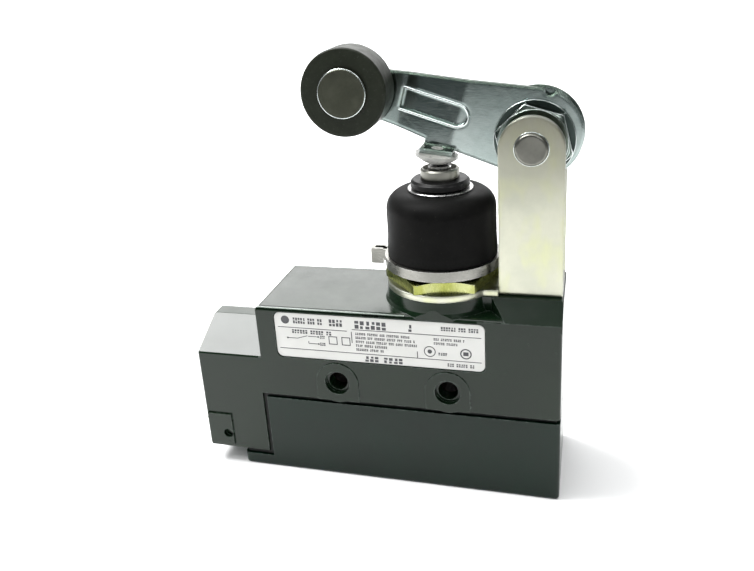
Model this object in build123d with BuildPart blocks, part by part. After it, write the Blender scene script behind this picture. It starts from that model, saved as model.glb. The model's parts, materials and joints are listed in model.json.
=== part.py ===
"""Side-mounted roller-lever limit switch in a die-cast enclosure, as an assembly of separate pieces.

Frame: millimetres, +Z up, +X towards the lever pivot end, +Y towards the back.
The origin is where the plunger axis meets the enclosure's bottom face, at mid depth.
"""

from build123d import *
import math
import os

# ---------------------------------------------------------------- enclosure
DEPTH = 25.4                 # enclosure depth, front face to back face
HALF = DEPTH / 2
RIGHT = 26.6                 # right end face
LEFT = -41.3                 # left face of the tall block
TOP = 43.0                   # top face of the tall block
WALL = 2.2
CAVITY_CEILING = 40.4
CAVITY_LEFT = LEFT + 1.9
CAVITY_RIGHT = RIGHT - WALL
CAVITY_HALF = HALF - WALL

HUB_LEFT = -57.9             # mouth of the conduit hub
HUB_BOTTOM = 3.9
HUB_SHOULDER = 30.0          # where the hub's sides turn into its roof
HUB_RIDGE = 35.4
HUB_RIDGE_HALF = 1.9
CONDUIT_Z = 17.4
CONDUIT_R = 9.1              # tapping-size bore of a half-inch conduit thread

PART_LINE = 20.4             # underside of the housing's walls
SEAL_T = 1.0                 # gasket thickness
SEAL_SET_BACK = 0.8          # how far the gasket sits inside the faces
COVER_TOP = PART_LINE - SEAL_T
SEAM_X = -42.0               # hub face that the cover's left edges close on
COVER_LEFT = SEAM_X + SEAL_T
FLANGE_LEFT = -48.7          # tongue of the cover under the hub
FLANGE_TOP = HUB_BOTTOM - SEAL_T
COVER_FLOOR = 2.4

HOLE_Z = 25.0                # mounting holes
HOLE_XS = (-22.9, 2.5)       # 25.4 apart, as the inner switch's own holes
HOLE_R = 2.2
HOLE_SEAT_R = 2.9
HOLE_SEAT_DEPTH = 1.0
PAD_R = 5.0
PAD_H = 0.25
CORNER_H = 0.45              # raised corner of the hub

LABEL_W, LABEL_H, LABEL_R = 47.6, 11.1, 1.4
LABEL_X, LABEL_Z = -13.05, 36.25
LABEL_RECESS, LABEL_T = 0.5, 0.3

BOSS_R = 12.5                # round boss under the bracket
BOSS_TOP = 46.3
PLATFORM_HALF = 6.6          # rail under the bracket's ears
BLOCK_LEFT = 13.2            # raised end block with ramps down to the front and back
BLOCK_HALF = 7.9
BOSS_FLARE = 0.8
POST_X, POST_R = 19.8, 3.2   # screw post for the cover
POST_FOOT = 4.2
GROUND_X, GROUND_Y, GROUND_Z = 20.6, 7.0, 19.0
SCREW_R = 1.5
SCREW_HEAD_R = 2.9
SCREW_HEAD_H = 1.6
SCREW_SEAT = 1.7             # underside of the cover's screw seats
SCREW_L = 8.0
FLANGE_SCREW_X, FLANGE_SCREW_Y = -45.4, 8.8
COVER_SCREWS = [(POST_X, 0.0), (FLANGE_SCREW_X, FLANGE_SCREW_Y), (FLANGE_SCREW_X, -FLANGE_SCREW_Y)]

# ------------------------------------------------------------------ bracket
SHEET = 1.6                  # bracket and lever sheet
BASE_T = 1.4
BASE_TOP = BOSS_TOP + BASE_T
BASE_R = 12.5
EAR_HALF_W = 6.6
EAR_Y = PLATFORM_HALF        # outer faces of the ears
PIVOT_X, PIVOT_Z = 19.7, 78.1
PIN_R = 2.6
RUN = 0.05                   # radial running clearance

# -------------------------------------------------------------------- lever
ARM_ANGLE = 16.3            # lever above level at rest, in degrees
ARM_L = 40.59                # pivot to roller axle
PLATE_FRONT = 1.8           # front face of the lever plate at the pivot
END_FRONT = 4.2              # front face of the plate behind the roller
JOG_START, JOG_END = 16.5, 29.3
HUB_U, HUB_V, HUB_R = -0.1, 1.2, 9.5   # round end of the lever plate
RIB_START, RIB_END, RIB_V, RIB_HALF = 14.4, 29.6, 0.4, 2.4
RIB_DEPTH = 0.9
BUTTON_U, BUTTON_V = 19.51, -3.46      # centre of the button's ball face in the lever's frame
BUTTON_Y = 0.8
BUTTON_R, BUTTON_SPHERE = 4.65, 7.2
FOOT_TILT = 8.0              # of the foot to the horizontal, less than the lever's own
FOOT_BEND = math.radians(ARM_ANGLE - FOOT_TILT)
FOOT_DROP = 4.84             # from the ball's centre to the foot's underside
FOOT_U = BUTTON_U - FOOT_DROP * math.sin(FOOT_BEND)
FOOT_V = BUTTON_V - FOOT_DROP * math.cos(FOOT_BEND)
FOOT_HALF = 3.5
FOOT_T = 1.1
FOOT_FRONT = -1.0
RIVET_R = 1.3
ROLLER_R, ROLLER_W = 9.4, 7.8
ROLLER_HEAD_R = 5.3
AXLE_R = 3.0

# ------------------------------------------------------------------ plunger
STEM_R = 2.5
STEM_TOP = 73.06
BOOT_R, BOOT_WALL = 12.1, 1.2
BOOT_SHOULDER = 4.0
BOOT_TOP = 67.9
BOOT_BOTTOM = 50.6
COLLAR_TOP = 55.6
GUIDE_R, GUIDE_TOP = 5.2, 60.0
BUSHING_R = 8.5
NUT_FLATS = 22.2             # large hex nut, across flats
NUT_TURN = 11.0
BUSHING_BOTTOM = 38.3
NUT_TOP = 50.5
PISTON_R, PISTON_Z, PISTON_H = 3.9, 49.8, 1.7
CUP_R, CUP_IN_R, CUP_Z, CUP_TOP = 4.8, 4.1, 41.4, 49.5
CLAMP_Z, CLAMP_H, CLAMP_T = 51.1, 2.25, 0.7
CLAMP_LUG_DROP, CLAMP_LUG_H, CLAMP_LUG_R = 1.1, 3.6, 13.5

# ------------------------------------------------------- snap-action switch
CASE_LEFT, CASE_RIGHT = -35.0, 14.2
CASE_BOTTOM, CASE_TOP = 13.3, 37.5
CASE_HALF = 8.7
CASE_WALL = 2.0
CASE_LID = 1.5
CASE_FLOOR = 4.0
PIN_TOP = 41.3
BLADE_Z, BLADE_T = 32.0, 0.3
CONTACT_X, CONTACT_R, CONTACT_H = 9.6, 1.6, 0.5
CONTACT_TRAVEL = 1.1

a = math.radians(ARM_ANGLE)
ARM = Plane(                 # lever's own frame: x runs out along the lever, z towards +Y
    origin=(PIVOT_X, 0, PIVOT_Z), x_dir=(-math.cos(a), 0, math.sin(a)), z_dir=(0, 1, 0)
)
ARM_EDGE = Plane(            # x runs out along the lever, y towards +Y
    origin=(PIVOT_X, 0, PIVOT_Z), x_dir=(-math.cos(a), 0, math.sin(a)), z_dir=(-math.sin(a), 0, -math.cos(a))
)
tilt = math.radians(FOOT_TILT)
FOOT = Plane(                # underside of the foot, z pointing down
    origin=ARM_EDGE.from_local_coords((FOOT_U, 0, -FOOT_V)),
    x_dir=(-math.cos(tilt), 0, math.sin(tilt)),
    z_dir=(-math.sin(tilt), 0, -math.cos(tilt)),
)


def xz(y):
    """Plane of X and Z at depth y, extruding towards +Y (its x runs along +X, its y along -Z)."""
    return Plane(origin=(0, y, 0), x_dir=(1, 0, 0), z_dir=(0, 1, 0))


os.makedirs("parts", exist_ok=True)

# ================================================================= housing
with BuildPart() as block:
    with BuildSketch(Plane.XY.offset(PART_LINE)):
        with Locations(((SEAM_X + RIGHT) / 2, 0)):
            Rectangle(RIGHT - SEAM_X, DEPTH)
    extrude(amount=TOP - PART_LINE)
    with BuildSketch(Plane.XY.offset(HUB_SHOULDER)):
        with Locations(((SEAM_X + LEFT) / 2, 0)):
            Rectangle(LEFT - SEAM_X, DEPTH)
    extrude(amount=TOP - HUB_SHOULDER, mode=Mode.SUBTRACT)
    upper = block.edges().filter_by(lambda e: e.center().Z > TOP - 0.01)
    corners = block.edges().filter_by(Axis.Z).group_by(Axis.X)[-1]
    fillet(upper + corners, radius=1.0)

with BuildPart() as hub:
    with BuildSketch(Plane.YZ.offset(HUB_LEFT)):
        with BuildLine():
            Polyline(
                (-HALF, HUB_BOTTOM),
                (HALF, HUB_BOTTOM),
                (HALF, HUB_SHOULDER),
                (HUB_RIDGE_HALF, HUB_RIDGE),
                (-HUB_RIDGE_HALF, HUB_RIDGE),
                (-HALF, HUB_SHOULDER),
                close=True,
            )
        make_face()
    extrude(amount=LEFT - HUB_LEFT)
    with BuildSketch(Plane.XY.offset(HUB_BOTTOM)):
        with Locations((SEAM_X + 5, 0)):
            Rectangle(10, DEPTH)
    extrude(amount=PART_LINE - HUB_BOTTOM, mode=Mode.SUBTRACT)
    fillet(hub.edges().filter_by(Axis.X), radius=0.6)
    chamfer(hub.faces().sort_by(Axis.X)[0].outer_wire().edges(), length=0.5)

with BuildPart() as head_land:
    # rail and ramped block under the bracket's ears
    with BuildSketch(Plane.YZ.offset(BLOCK_LEFT - 4)):
        with BuildLine():
            Polyline(
                (-HALF, TOP - 2),
                (HALF, TOP - 2),
                (HALF, TOP - 0.4),
                (BLOCK_HALF, BOSS_TOP),
                (-BLOCK_HALF, BOSS_TOP),
                (-HALF, TOP - 0.4),
                close=True,
            )
        make_face()
    extrude(amount=RIGHT - BLOCK_LEFT + 4)
    for side in (-1, 1):
        with BuildSketch(Plane.XY.offset(TOP - 0.4)):
            with BuildLine():
                Polyline(
                    (0, side * BLOCK_HALF),
                    (BLOCK_LEFT - 1.5, side * BLOCK_HALF),
                    (BLOCK_LEFT + 2.5, side * (HALF + 1)),
                    (0, side * (HALF + 1)),
                    close=True,
                )
            make_face()
        extrude(amount=BOSS_TOP - TOP + 1, mode=Mode.SUBTRACT)
    # round boss with a flared foot, clipped by the faces of the block
    with BuildSketch(Plane.XZ):
        with BuildLine():
            Polyline(
                (0, TOP - 2),
                (BOSS_R + BOSS_FLARE, TOP - 2),
                (BOSS_R + BOSS_FLARE, TOP - 0.2),
                (BOSS_R + 0.3, TOP + 0.8),
                (BOSS_R, BOSS_TOP),
                (0, BOSS_TOP),
                close=True,
            )
        make_face()
    revolve(axis=Axis.Z)
    with BuildSketch(Plane.XY.offset(TOP - 2)):
        with Locations(((RIGHT - 20) / 2, 0)):
            Rectangle(RIGHT + 20, DEPTH)
    extrude(amount=BOSS_TOP - TOP + 2, mode=Mode.INTERSECT)
    right_end = head_land.faces().sort_by(Axis.X)[-1].edges().group_by(Axis.Z)[-1]
    chamfer(right_end, length=0.4)

with BuildPart() as housing:
    add(block.part)
    add(hub.part)
    add(head_land.part)
    # pads round the mounting holes, front and back
    for side in (-1, 1):
        with BuildSketch(xz(side * HALF)):
            for x in HOLE_XS:
                with Locations((x, -HOLE_Z)):
                    Circle(PAD_R)
                with Locations((x, -(HOLE_Z + PART_LINE) / 2)):
                    Rectangle(2 * PAD_R, HOLE_Z - PART_LINE)
        extrude(amount=side * PAD_H)
    # raised corner on the front of the hub, with a mould dimple
    with BuildSketch(xz(-HALF)):
        with Locations((HUB_LEFT + 3.8, -9.3)):
            Rectangle(6.2, 8.4)
    extrude(amount=-CORNER_H)
    with BuildSketch(xz(-HALF - CORNER_H)):
        with Locations((HUB_LEFT + 5.6, -8.2)):
            Circle(1.2)
    extrude(amount=CORNER_H + 0.6, mode=Mode.SUBTRACT)
    # cavity, open below
    with BuildSketch(Plane.XY.offset(PART_LINE)):
        with Locations(((CAVITY_LEFT + CAVITY_RIGHT) / 2, 0)):
            RectangleRounded(CAVITY_RIGHT - CAVITY_LEFT, 2 * CAVITY_HALF, 2.0)
    extrude(amount=CAVITY_CEILING - PART_LINE, mode=Mode.SUBTRACT)
    # spacers that carry the inner switch, and the cover's screw post
    for side in (-1, 1):
        with BuildSketch(xz(side * (CASE_HALF + 0.1))):
            for x in HOLE_XS:
                with Locations((x, -HOLE_Z)):
                    Circle(4.2)
        extrude(amount=side * (CAVITY_HALF - CASE_HALF + 0.5))
    with BuildSketch(Plane.XY.offset(POST_FOOT)):
        with Locations((POST_X, 0)):
            Circle(POST_R)
    extrude(amount=CAVITY_CEILING - POST_FOOT + 0.5)
    with BuildSketch(Plane.XY.offset(GROUND_Z)):
        with Locations((GROUND_X, GROUND_Y)):
            Circle(3.1)
    extrude(amount=CAVITY_CEILING - GROUND_Z + 0.5)
    # mounting holes with seal seats
    with BuildSketch(xz(-HALF - 1)):
        with Locations(*[(x, -HOLE_Z) for x in HOLE_XS]):
            Circle(HOLE_R)
    extrude(amount=DEPTH + 2, mode=Mode.SUBTRACT)
    for side in (-1, 1):
        with BuildSketch(xz(side * (HALF + PAD_H))):
            with Locations(*[(x, -HOLE_Z) for x in HOLE_XS]):
                Circle(HOLE_SEAT_R)
        extrude(amount=-side * HOLE_SEAT_DEPTH, mode=Mode.SUBTRACT)
    # bore for the head bushing
    with BuildSketch(Plane.XY.offset(CAVITY_CEILING - 1)):
        Circle(BUSHING_R + RUN)
    extrude(amount=BOSS_TOP - CAVITY_CEILING + 2, mode=Mode.SUBTRACT)
    # conduit bore with a lead-in
    with BuildSketch(Plane.YZ.offset(HUB_LEFT - 1)):
        with Locations((0, CONDUIT_Z)):
            Circle(CONDUIT_R)
    extrude(amount=CAVITY_LEFT - HUB_LEFT + 2, mode=Mode.SUBTRACT)
    with BuildSketch(Plane.YZ.offset(HUB_LEFT)):
        with Locations((0, CONDUIT_Z)):
            Circle(CONDUIT_R + 1.4)
    extrude(amount=2.0, taper=35, mode=Mode.SUBTRACT)
    # label recess and the small slot above it
    with BuildSketch(xz(-HALF)):
        with Locations((LABEL_X, -LABEL_Z)):
            RectangleRounded(LABEL_W + 0.3, LABEL_H + 0.3, LABEL_R)
    extrude(amount=LABEL_RECESS, mode=Mode.SUBTRACT)
    with BuildSketch(xz(-HALF)):
        with Locations((LABEL_X - 0.4, -(LABEL_Z + LABEL_H / 2 + 0.65))):
            SlotOverall(5.4, 0.5)
    extrude(amount=0.6, mode=Mode.SUBTRACT)
    # screw holes
    with BuildSketch(Plane.XY.offset(SCREW_SEAT)):
        with Locations(*COVER_SCREWS):
            Circle(SCREW_R)
    extrude(amount=SCREW_L + 0.5, mode=Mode.SUBTRACT)
    with BuildSketch(Plane.XY.offset(GROUND_Z)):
        with Locations((GROUND_X, GROUND_Y)):
            Circle(SCREW_R)
    extrude(amount=6.5, mode=Mode.SUBTRACT)
housing.part.label = "housing"
export_step(housing.part, "parts/housing.step")

# ============================================================ bottom cover
with BuildPart() as cover:
    with BuildSketch(Plane.XY):
        with Locations(((COVER_LEFT + RIGHT) / 2, 0)):
            Rectangle(RIGHT - COVER_LEFT, DEPTH)
    extrude(amount=COVER_TOP)
    right_corners = cover.edges().filter_by(Axis.Z).group_by(Axis.X)[-1]
    fillet(right_corners, radius=1.0)
    with BuildSketch(Plane.XY.offset(COVER_FLOOR)):
        with Locations(((COVER_LEFT + CAVITY_RIGHT) / 2 - 2, 0)):
            RectangleRounded(CAVITY_RIGHT - COVER_LEFT + 4, 2 * CAVITY_HALF, 1.5)
    extrude(amount=COVER_TOP, mode=Mode.SUBTRACT)
    with BuildSketch(Plane.XY):
        with Locations(((FLANGE_LEFT + COVER_LEFT + 1.5) / 2, 0)):
            Rectangle(COVER_LEFT + 1.5 - FLANGE_LEFT, DEPTH)
    extrude(amount=FLANGE_TOP)
    tongue_corners = cover.edges().filter_by(Axis.Z).group_by(Axis.X)[0]
    fillet(tongue_corners, radius=1.2)
    under = cover.faces().sort_by(Axis.Z)[0].outer_wire().edges()
    fillet(under, radius=0.6)
    with BuildSketch(Plane.XY.offset(COVER_FLOOR - 0.5)):
        with Locations((POST_X, 0)):
            Circle(POST_R)
    extrude(amount=POST_FOOT - COVER_FLOOR + 0.5)
    with BuildSketch(Plane.XY):
        with Locations(*COVER_SCREWS):
            Circle(SCREW_HEAD_R + 0.3)
    extrude(amount=SCREW_SEAT, mode=Mode.SUBTRACT)
    with BuildSketch(Plane.XY):
        with Locations(*COVER_SCREWS):
            Circle(SCREW_R + 0.1)
    extrude(amount=6, mode=Mode.SUBTRACT)
cover.part.label = "bottom_cover"
export_step(cover.part, "parts/bottom_cover.step")

SEAL_Y = HALF - SEAL_SET_BACK
with BuildPart() as gasket:
    with BuildSketch(Plane.XY.offset(COVER_TOP)):
        with Locations(((SEAM_X + RIGHT - SEAL_SET_BACK) / 2, 0)):
            Rectangle(RIGHT - SEAL_SET_BACK - SEAM_X, 2 * SEAL_Y)
        with Locations(((SEAM_X + CAVITY_RIGHT) / 2 - 2, 0)):
            RectangleRounded(CAVITY_RIGHT - SEAM_X + 4, 2 * CAVITY_HALF, 1.5, mode=Mode.SUBTRACT)
    extrude(amount=SEAL_T)
    for side in (-1, 1):
        with BuildSketch(Plane.XY.offset(FLANGE_TOP)):
            with Locations(((SEAM_X + COVER_LEFT) / 2, side * (SEAL_Y + CAVITY_HALF) / 2)):
                Rectangle(SEAL_T, SEAL_Y - CAVITY_HALF)
        extrude(amount=PART_LINE - FLANGE_TOP)
    with BuildSketch(Plane.XY.offset(FLANGE_TOP)):
        with Locations(((FLANGE_LEFT + SEAL_SET_BACK + COVER_LEFT) / 2, 0)):
            Rectangle(COVER_LEFT - FLANGE_LEFT - SEAL_SET_BACK, 2 * SEAL_Y)
        with Locations(*COVER_SCREWS[1:]):
            Circle(SCREW_R + 0.1, mode=Mode.SUBTRACT)
    extrude(amount=SEAL_T)
gasket.part.label = "cover_gasket"
export_step(gasket.part, "parts/cover_gasket.step")


def screw_up(x, y, seat, head_r, head_h, length):
    """Slotted screw driven upwards: head below z = seat, shank above it."""
    with BuildPart() as screw:
        with BuildSketch(Plane.XY.offset(seat - head_h)):
            with Locations((x, y)):
                Circle(head_r)
        extrude(amount=head_h)
        with BuildSketch(Plane.XY.offset(seat - 0.2)):
            with Locations((x, y)):
                Circle(SCREW_R - 0.05)
        extrude(amount=length + 0.2)
        with BuildSketch(Plane.XY.offset(seat - head_h)):
            with Locations((x, y)):
                Rectangle(2 * head_r + 1, 0.8)
        extrude(amount=head_h * 0.5, mode=Mode.SUBTRACT)
    return screw.part


with BuildPart() as cover_screws:
    for x, y in COVER_SCREWS:
        add(screw_up(x, y, SCREW_SEAT, SCREW_HEAD_R, SCREW_HEAD_H, SCREW_L))
cover_screws.part.label = "cover_screws"
export_step(cover_screws.part, "parts/cover_screws.step")
with BuildPart() as ground_screw:
    add(screw_up(GROUND_X, GROUND_Y, GROUND_Z, 3.2, 1.8, 6.0))
ground_screw.part.label = "ground_screw"
export_step(ground_screw.part, "parts/ground_screw.step")

with BuildPart() as nameplate:
    with BuildSketch(xz(-HALF + LABEL_RECESS - LABEL_T)):
        with Locations((LABEL_X, -LABEL_Z)):
            RectangleRounded(LABEL_W, LABEL_H, LABEL_R)
    extrude(amount=LABEL_T)
nameplate.part.label = "nameplate"
export_step(nameplate.part, "parts/nameplate.step")

# ======================================================= snap-action switch
CASE_X = (CASE_LEFT + CASE_RIGHT) / 2
CASE_W = CASE_RIGHT - CASE_LEFT
CHAMBER_Y = CASE_HALF - CASE_LID
TERMINALS = (-29.0, -10.0, 8.2)
TAB_T = 1.0
TAB_Z = CASE_BOTTOM - TAB_T

with BuildPart() as case:
    with BuildSketch(xz(-CASE_HALF)):
        with Locations((CASE_X, -(CASE_BOTTOM + CASE_TOP) / 2)):
            RectangleRounded(CASE_W, CASE_TOP - CASE_BOTTOM, 1.2)
    extrude(amount=2 * CASE_HALF - CASE_LID)
    with BuildSketch(xz(-CASE_HALF + CASE_WALL)):
        with Locations((CASE_X, -(CASE_BOTTOM + CASE_FLOOR + CASE_TOP - CASE_WALL) / 2)):
            Rectangle(CASE_W - 2 * CASE_WALL, CASE_TOP - CASE_BOTTOM - CASE_FLOOR - CASE_WALL)
    extrude(amount=2 * CASE_HALF, mode=Mode.SUBTRACT)
    with BuildSketch(xz(-CASE_HALF + 0.5)):
        with Locations(*[(x, -HOLE_Z) for x in HOLE_XS]):
            Circle(3.6)
    extrude(amount=2 * CASE_HALF - CASE_LID - 0.5)
    with BuildSketch(xz(-CASE_HALF - 1)):
        with Locations(*[(x, -HOLE_Z) for x in HOLE_XS]):
            Circle(HOLE_R)
    extrude(amount=2 * CASE_HALF + 2, mode=Mode.SUBTRACT)
    with BuildSketch(Plane.XY.offset(CASE_TOP - CASE_WALL - 1)):
        Circle(2.0 + RUN)
    extrude(amount=CASE_WALL + 2, mode=Mode.SUBTRACT)
    with BuildSketch(Plane.XY.offset(CASE_BOTTOM - 1)):
        with Locations(*[(x, 0) for x in TERMINALS]):
            Circle(SCREW_R)
    extrude(amount=1 + 3.5, mode=Mode.SUBTRACT)
    with BuildSketch(Plane.XY.offset(CASE_BOTTOM - 1)):
        with Locations((-32.4, 0), (-6.6, 0), (11.7, 0)):
            Rectangle(TAB_T, 5.0)
    extrude(amount=CASE_FLOOR + 2, mode=Mode.SUBTRACT)
case.part.label = "switch_case"
export_step(case.part, "parts/switch_case.step")

with BuildPart() as lid:
    with BuildSketch(xz(CHAMBER_Y)):
        with Locations((CASE_X, -(CASE_BOTTOM + CASE_TOP) / 2)):
            RectangleRounded(CASE_W, CASE_TOP - CASE_BOTTOM, 1.2)
        with Locations(*[(x, -HOLE_Z) for x in HOLE_XS]):
            Circle(HOLE_R, mode=Mode.SUBTRACT)
    extrude(amount=CASE_LID)
lid.part.label = "switch_lid"
export_step(lid.part, "parts/switch_lid.step")

with BuildPart() as pin:
    with BuildSketch(Plane.XY.offset(BLADE_Z + BLADE_T + 0.02)):
        Circle(2.0)
    extrude(amount=PIN_TOP - BLADE_Z - BLADE_T - 0.02)
    fillet(pin.edges().group_by(Axis.Z)[-1], radius=0.5)
    fillet(pin.edges().group_by(Axis.Z)[0], radius=1.6)
    with BuildSketch(Plane.XY.offset(BLADE_Z + 2.2)):
        Circle(2.7)
    extrude(amount=0.9)
pin.part.label = "switch_pin"
export_step(pin.part, "parts/switch_pin.step")


def conductor(x, left, right, points):
    """Terminal: an outside tab with its screw hole, and a strap whose section is drawn in X and Z."""
    with BuildPart() as piece:
        with BuildSketch(Plane.XY.offset(TAB_Z)):
            with Locations(((left + right) / 2, 0)):
                Rectangle(right - left, 8.0)
            with Locations((x, 0)):
                Circle(SCREW_R, mode=Mode.SUBTRACT)
        extrude(amount=TAB_T)
        with BuildSketch(xz(-2.5)):
            with BuildLine():
                Polyline(*[(px, -pz) for px, pz in points], close=True)
            make_face()
        extrude(amount=5.0)
    return piece.part


MOVING_TOP = BLADE_Z + BLADE_T + CONTACT_H
MOVING_LOW = BLADE_Z - CONTACT_H
NC_FACE = MOVING_TOP
NO_FACE = MOVING_LOW - CONTACT_TRAVEL

COMMON_PATH = [
    (-32.9, TAB_Z + 0.5), (-31.9, TAB_Z + 0.5), (-31.9, 30.6), (-31.2, 31.4),
    (-29.4, 31.4), (-29.4, 31.95), (-32.0, 31.95), (-32.9, 31.0),
]
NO_PATH = [
    (-7.1, TAB_Z + 0.5), (-6.1, TAB_Z + 0.5), (-6.1, 18.4), (8.6, 18.4), (8.6, NO_FACE - 1.6),
    (11.0, NO_FACE - 1.6), (11.0, NO_FACE - 0.8), (7.8, NO_FACE - 0.8), (7.8, 19.2), (-7.1, 19.2),
]
NC_PATH = [
    (11.2, TAB_Z + 0.5), (12.2, TAB_Z + 0.5), (12.2, NC_FACE + 1.6), (7.8, NC_FACE + 1.6),
    (7.8, NC_FACE + 0.8), (11.5, NC_FACE + 0.8), (11.5, 20.0), (11.2, 20.0),
]

with BuildPart() as common:
    add(conductor(TERMINALS[0], -32.9, TERMINALS[0] + 4, COMMON_PATH))
common.part.label = "common_terminal"
export_step(common.part, "parts/common_terminal.step")

with BuildPart() as no_terminal:
    add(conductor(TERMINALS[1], TERMINALS[1] - 4, -6.1, NO_PATH))
    with BuildSketch(Plane.XY.offset(NO_FACE - 0.9)):
        with Locations((CONTACT_X, 0)):
            Circle(CONTACT_R)
    extrude(amount=0.9)
no_terminal.part.label = "no_terminal"
export_step(no_terminal.part, "parts/no_terminal.step")

with BuildPart() as nc_terminal:
    add(conductor(TERMINALS[2], TERMINALS[2] - 4, 12.2, NC_PATH))
    with BuildSketch(Plane.XY.offset(NC_FACE)):
        with Locations((CONTACT_X, 0)):
            Circle(CONTACT_R)
    extrude(amount=0.9)
nc_terminal.part.label = "nc_terminal"
export_step(nc_terminal.part, "parts/nc_terminal.step")

with BuildPart() as blade:
    with BuildSketch(Plane.XY.offset(BLADE_Z)):
        with Locations((-10.0, 0)):
            Rectangle(42.4, 5.6)
        with Locations((-9.0, 1.9)):
            SlotOverall(30.0, 0.7, mode=Mode.SUBTRACT)
        with Locations((-9.0, -1.9)):
            SlotOverall(30.0, 0.7, mode=Mode.SUBTRACT)
    extrude(amount=BLADE_T)
    with BuildSketch(Plane.XY.offset(MOVING_LOW)):
        with Locations((CONTACT_X, 0)):
            Circle(CONTACT_R)
    extrude(amount=MOVING_TOP - MOVING_LOW - 0.02)
blade.part.label = "moving_blade"
export_step(blade.part, "parts/moving_blade.step")

with BuildPart() as snap_spring:
    with BuildSketch(xz(-1.2)):
        with BuildLine():
            outer = ThreePointArc((-18.0, -BLADE_Z), (-13.0, -BLADE_Z + 2.6), (-8.0, -BLADE_Z))
            inner = ThreePointArc((-17.7, -BLADE_Z), (-13.0, -BLADE_Z + 2.35), (-8.3, -BLADE_Z))
            Line(outer @ 0, inner @ 0)
            Line(outer @ 1, inner @ 1)
        make_face()
    extrude(amount=2.4)
snap_spring.part.label = "snap_spring"
export_step(snap_spring.part, "parts/snap_spring.step")

with BuildPart() as terminal_screws:
    for x in TERMINALS:
        add(screw_up(x, 0, TAB_Z, 2.9, 1.8, 3.8))
terminal_screws.part.label = "terminal_screws"
export_step(terminal_screws.part, "parts/terminal_screws.step")

# ===================================================== head and its bracket
with BuildPart() as bushing:
    with BuildSketch(Plane.XZ):
        with BuildLine():
            Polyline(
                (4.9, BUSHING_BOTTOM),
                (BUSHING_R - 0.6, BUSHING_BOTTOM),
                (BUSHING_R, BUSHING_BOTTOM + 0.6),
                (BUSHING_R, BOOT_BOTTOM),
                (BOOT_R - BOOT_WALL, BOOT_BOTTOM),
                (BOOT_R - BOOT_WALL, COLLAR_TOP - 0.4),
                (BOOT_R - BOOT_WALL - 0.4, COLLAR_TOP),
                (GUIDE_R, COLLAR_TOP),
                (GUIDE_R, GUIDE_TOP - 0.4),
                (GUIDE_R - 0.4, GUIDE_TOP),
                (STEM_R + RUN, GUIDE_TOP),
                (STEM_R + RUN, 58.9),
                (3.9, 58.9),
                (3.9, 57.3),
                (STEM_R + RUN, 57.3),
                (STEM_R + RUN, PISTON_Z + PISTON_H + 0.3),
                (CUP_R + RUN, PISTON_Z + PISTON_H + 0.3),
                (CUP_R + RUN, BUSHING_BOTTOM + 1.5),
                (5.6, BUSHING_BOTTOM + 1.5),
                (5.6, BUSHING_BOTTOM + 0.7),
                (4.9, BUSHING_BOTTOM + 0.7),
                close=True,
            )
        make_face()
    revolve(axis=Axis.Z)
bushing.part.label = "head_bushing"
export_step(bushing.part, "parts/head_bushing.step")

with BuildPart() as seal:
    with BuildSketch(Plane.XZ):
        with Locations((3.21, 58.1)):
            Circle(0.68)
    revolve(axis=Axis.Z)
seal.part.label = "stem_seal"
export_step(seal.part, "parts/stem_seal.step")

with BuildPart() as ring:
    with BuildSketch(Plane.XY.offset(BUSHING_BOTTOM + 0.7)):
        Circle(5.55)
        Circle(4.3, mode=Mode.SUBTRACT)
        with Locations((-5, 0)):
            Rectangle(4, 2.4, mode=Mode.SUBTRACT)
    extrude(amount=0.7)
ring.part.label = "retaining_ring"
export_step(ring.part, "parts/retaining_ring.step")

with BuildPart() as bracket:
    with BuildSketch(Plane.XY.offset(BOSS_TOP)):
        Circle(BASE_R)
        with Locations(((PIVOT_X + EAR_HALF_W) / 2, 0)):
            Rectangle(PIVOT_X + EAR_HALF_W, 2 * EAR_Y)
        with Locations(((PIVOT_X - EAR_HALF_W) / 2, 0)):
            Rectangle(PIVOT_X - EAR_HALF_W, 2 * EAR_Y + 2)
        Circle(BUSHING_R + 0.1, mode=Mode.SUBTRACT)
    extrude(amount=BASE_T)
    for side in (-1, 1):
        with BuildSketch(xz(side * EAR_Y)):
            with Locations((PIVOT_X, -PIVOT_Z)):
                Circle(EAR_HALF_W)
            with Locations((PIVOT_X, -(BOSS_TOP + PIVOT_Z) / 2)):
                Rectangle(2 * EAR_HALF_W, PIVOT_Z - BOSS_TOP)
            with Locations((PIVOT_X, -PIVOT_Z)):
                Circle(PIN_R, mode=Mode.SUBTRACT)
        extrude(amount=-side * SHEET)
    bends = bracket.edges().filter_by(Axis.X).filter_by(
        lambda e: abs(e.center().Z - BOSS_TOP) < 0.01 and abs(abs(e.center().Y) - EAR_Y) < 0.01
    )
    fillet(bends, radius=0.5)
bracket.part.label = "support_bracket"
export_step(bracket.part, "parts/support_bracket.step")

with BuildPart() as head_nut:
    with BuildSketch(Plane.XY.offset(BASE_TOP)):
        RegularPolygon(NUT_FLATS / 2, 6, major_radius=False, rotation=NUT_TURN)
    extrude(amount=NUT_TOP - BASE_TOP)
    with BuildSketch(Plane.XZ):
        with BuildLine():
            Polyline(
                (0, BASE_TOP),
                (13.2, BASE_TOP),
                (13.2, NUT_TOP - 1.1),
                (NUT_FLATS / 2 - 0.1, NUT_TOP),
                (0, NUT_TOP),
                close=True,
            )
        make_face()
    revolve(axis=Axis.Z, mode=Mode.INTERSECT)
    with BuildSketch(Plane.XY.offset(BASE_TOP)):
        Circle(BUSHING_R + 0.02)
    extrude(amount=NUT_TOP - BASE_TOP, mode=Mode.SUBTRACT)
head_nut.part.label = "head_nut"
export_step(head_nut.part, "parts/head_nut.step")

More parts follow.
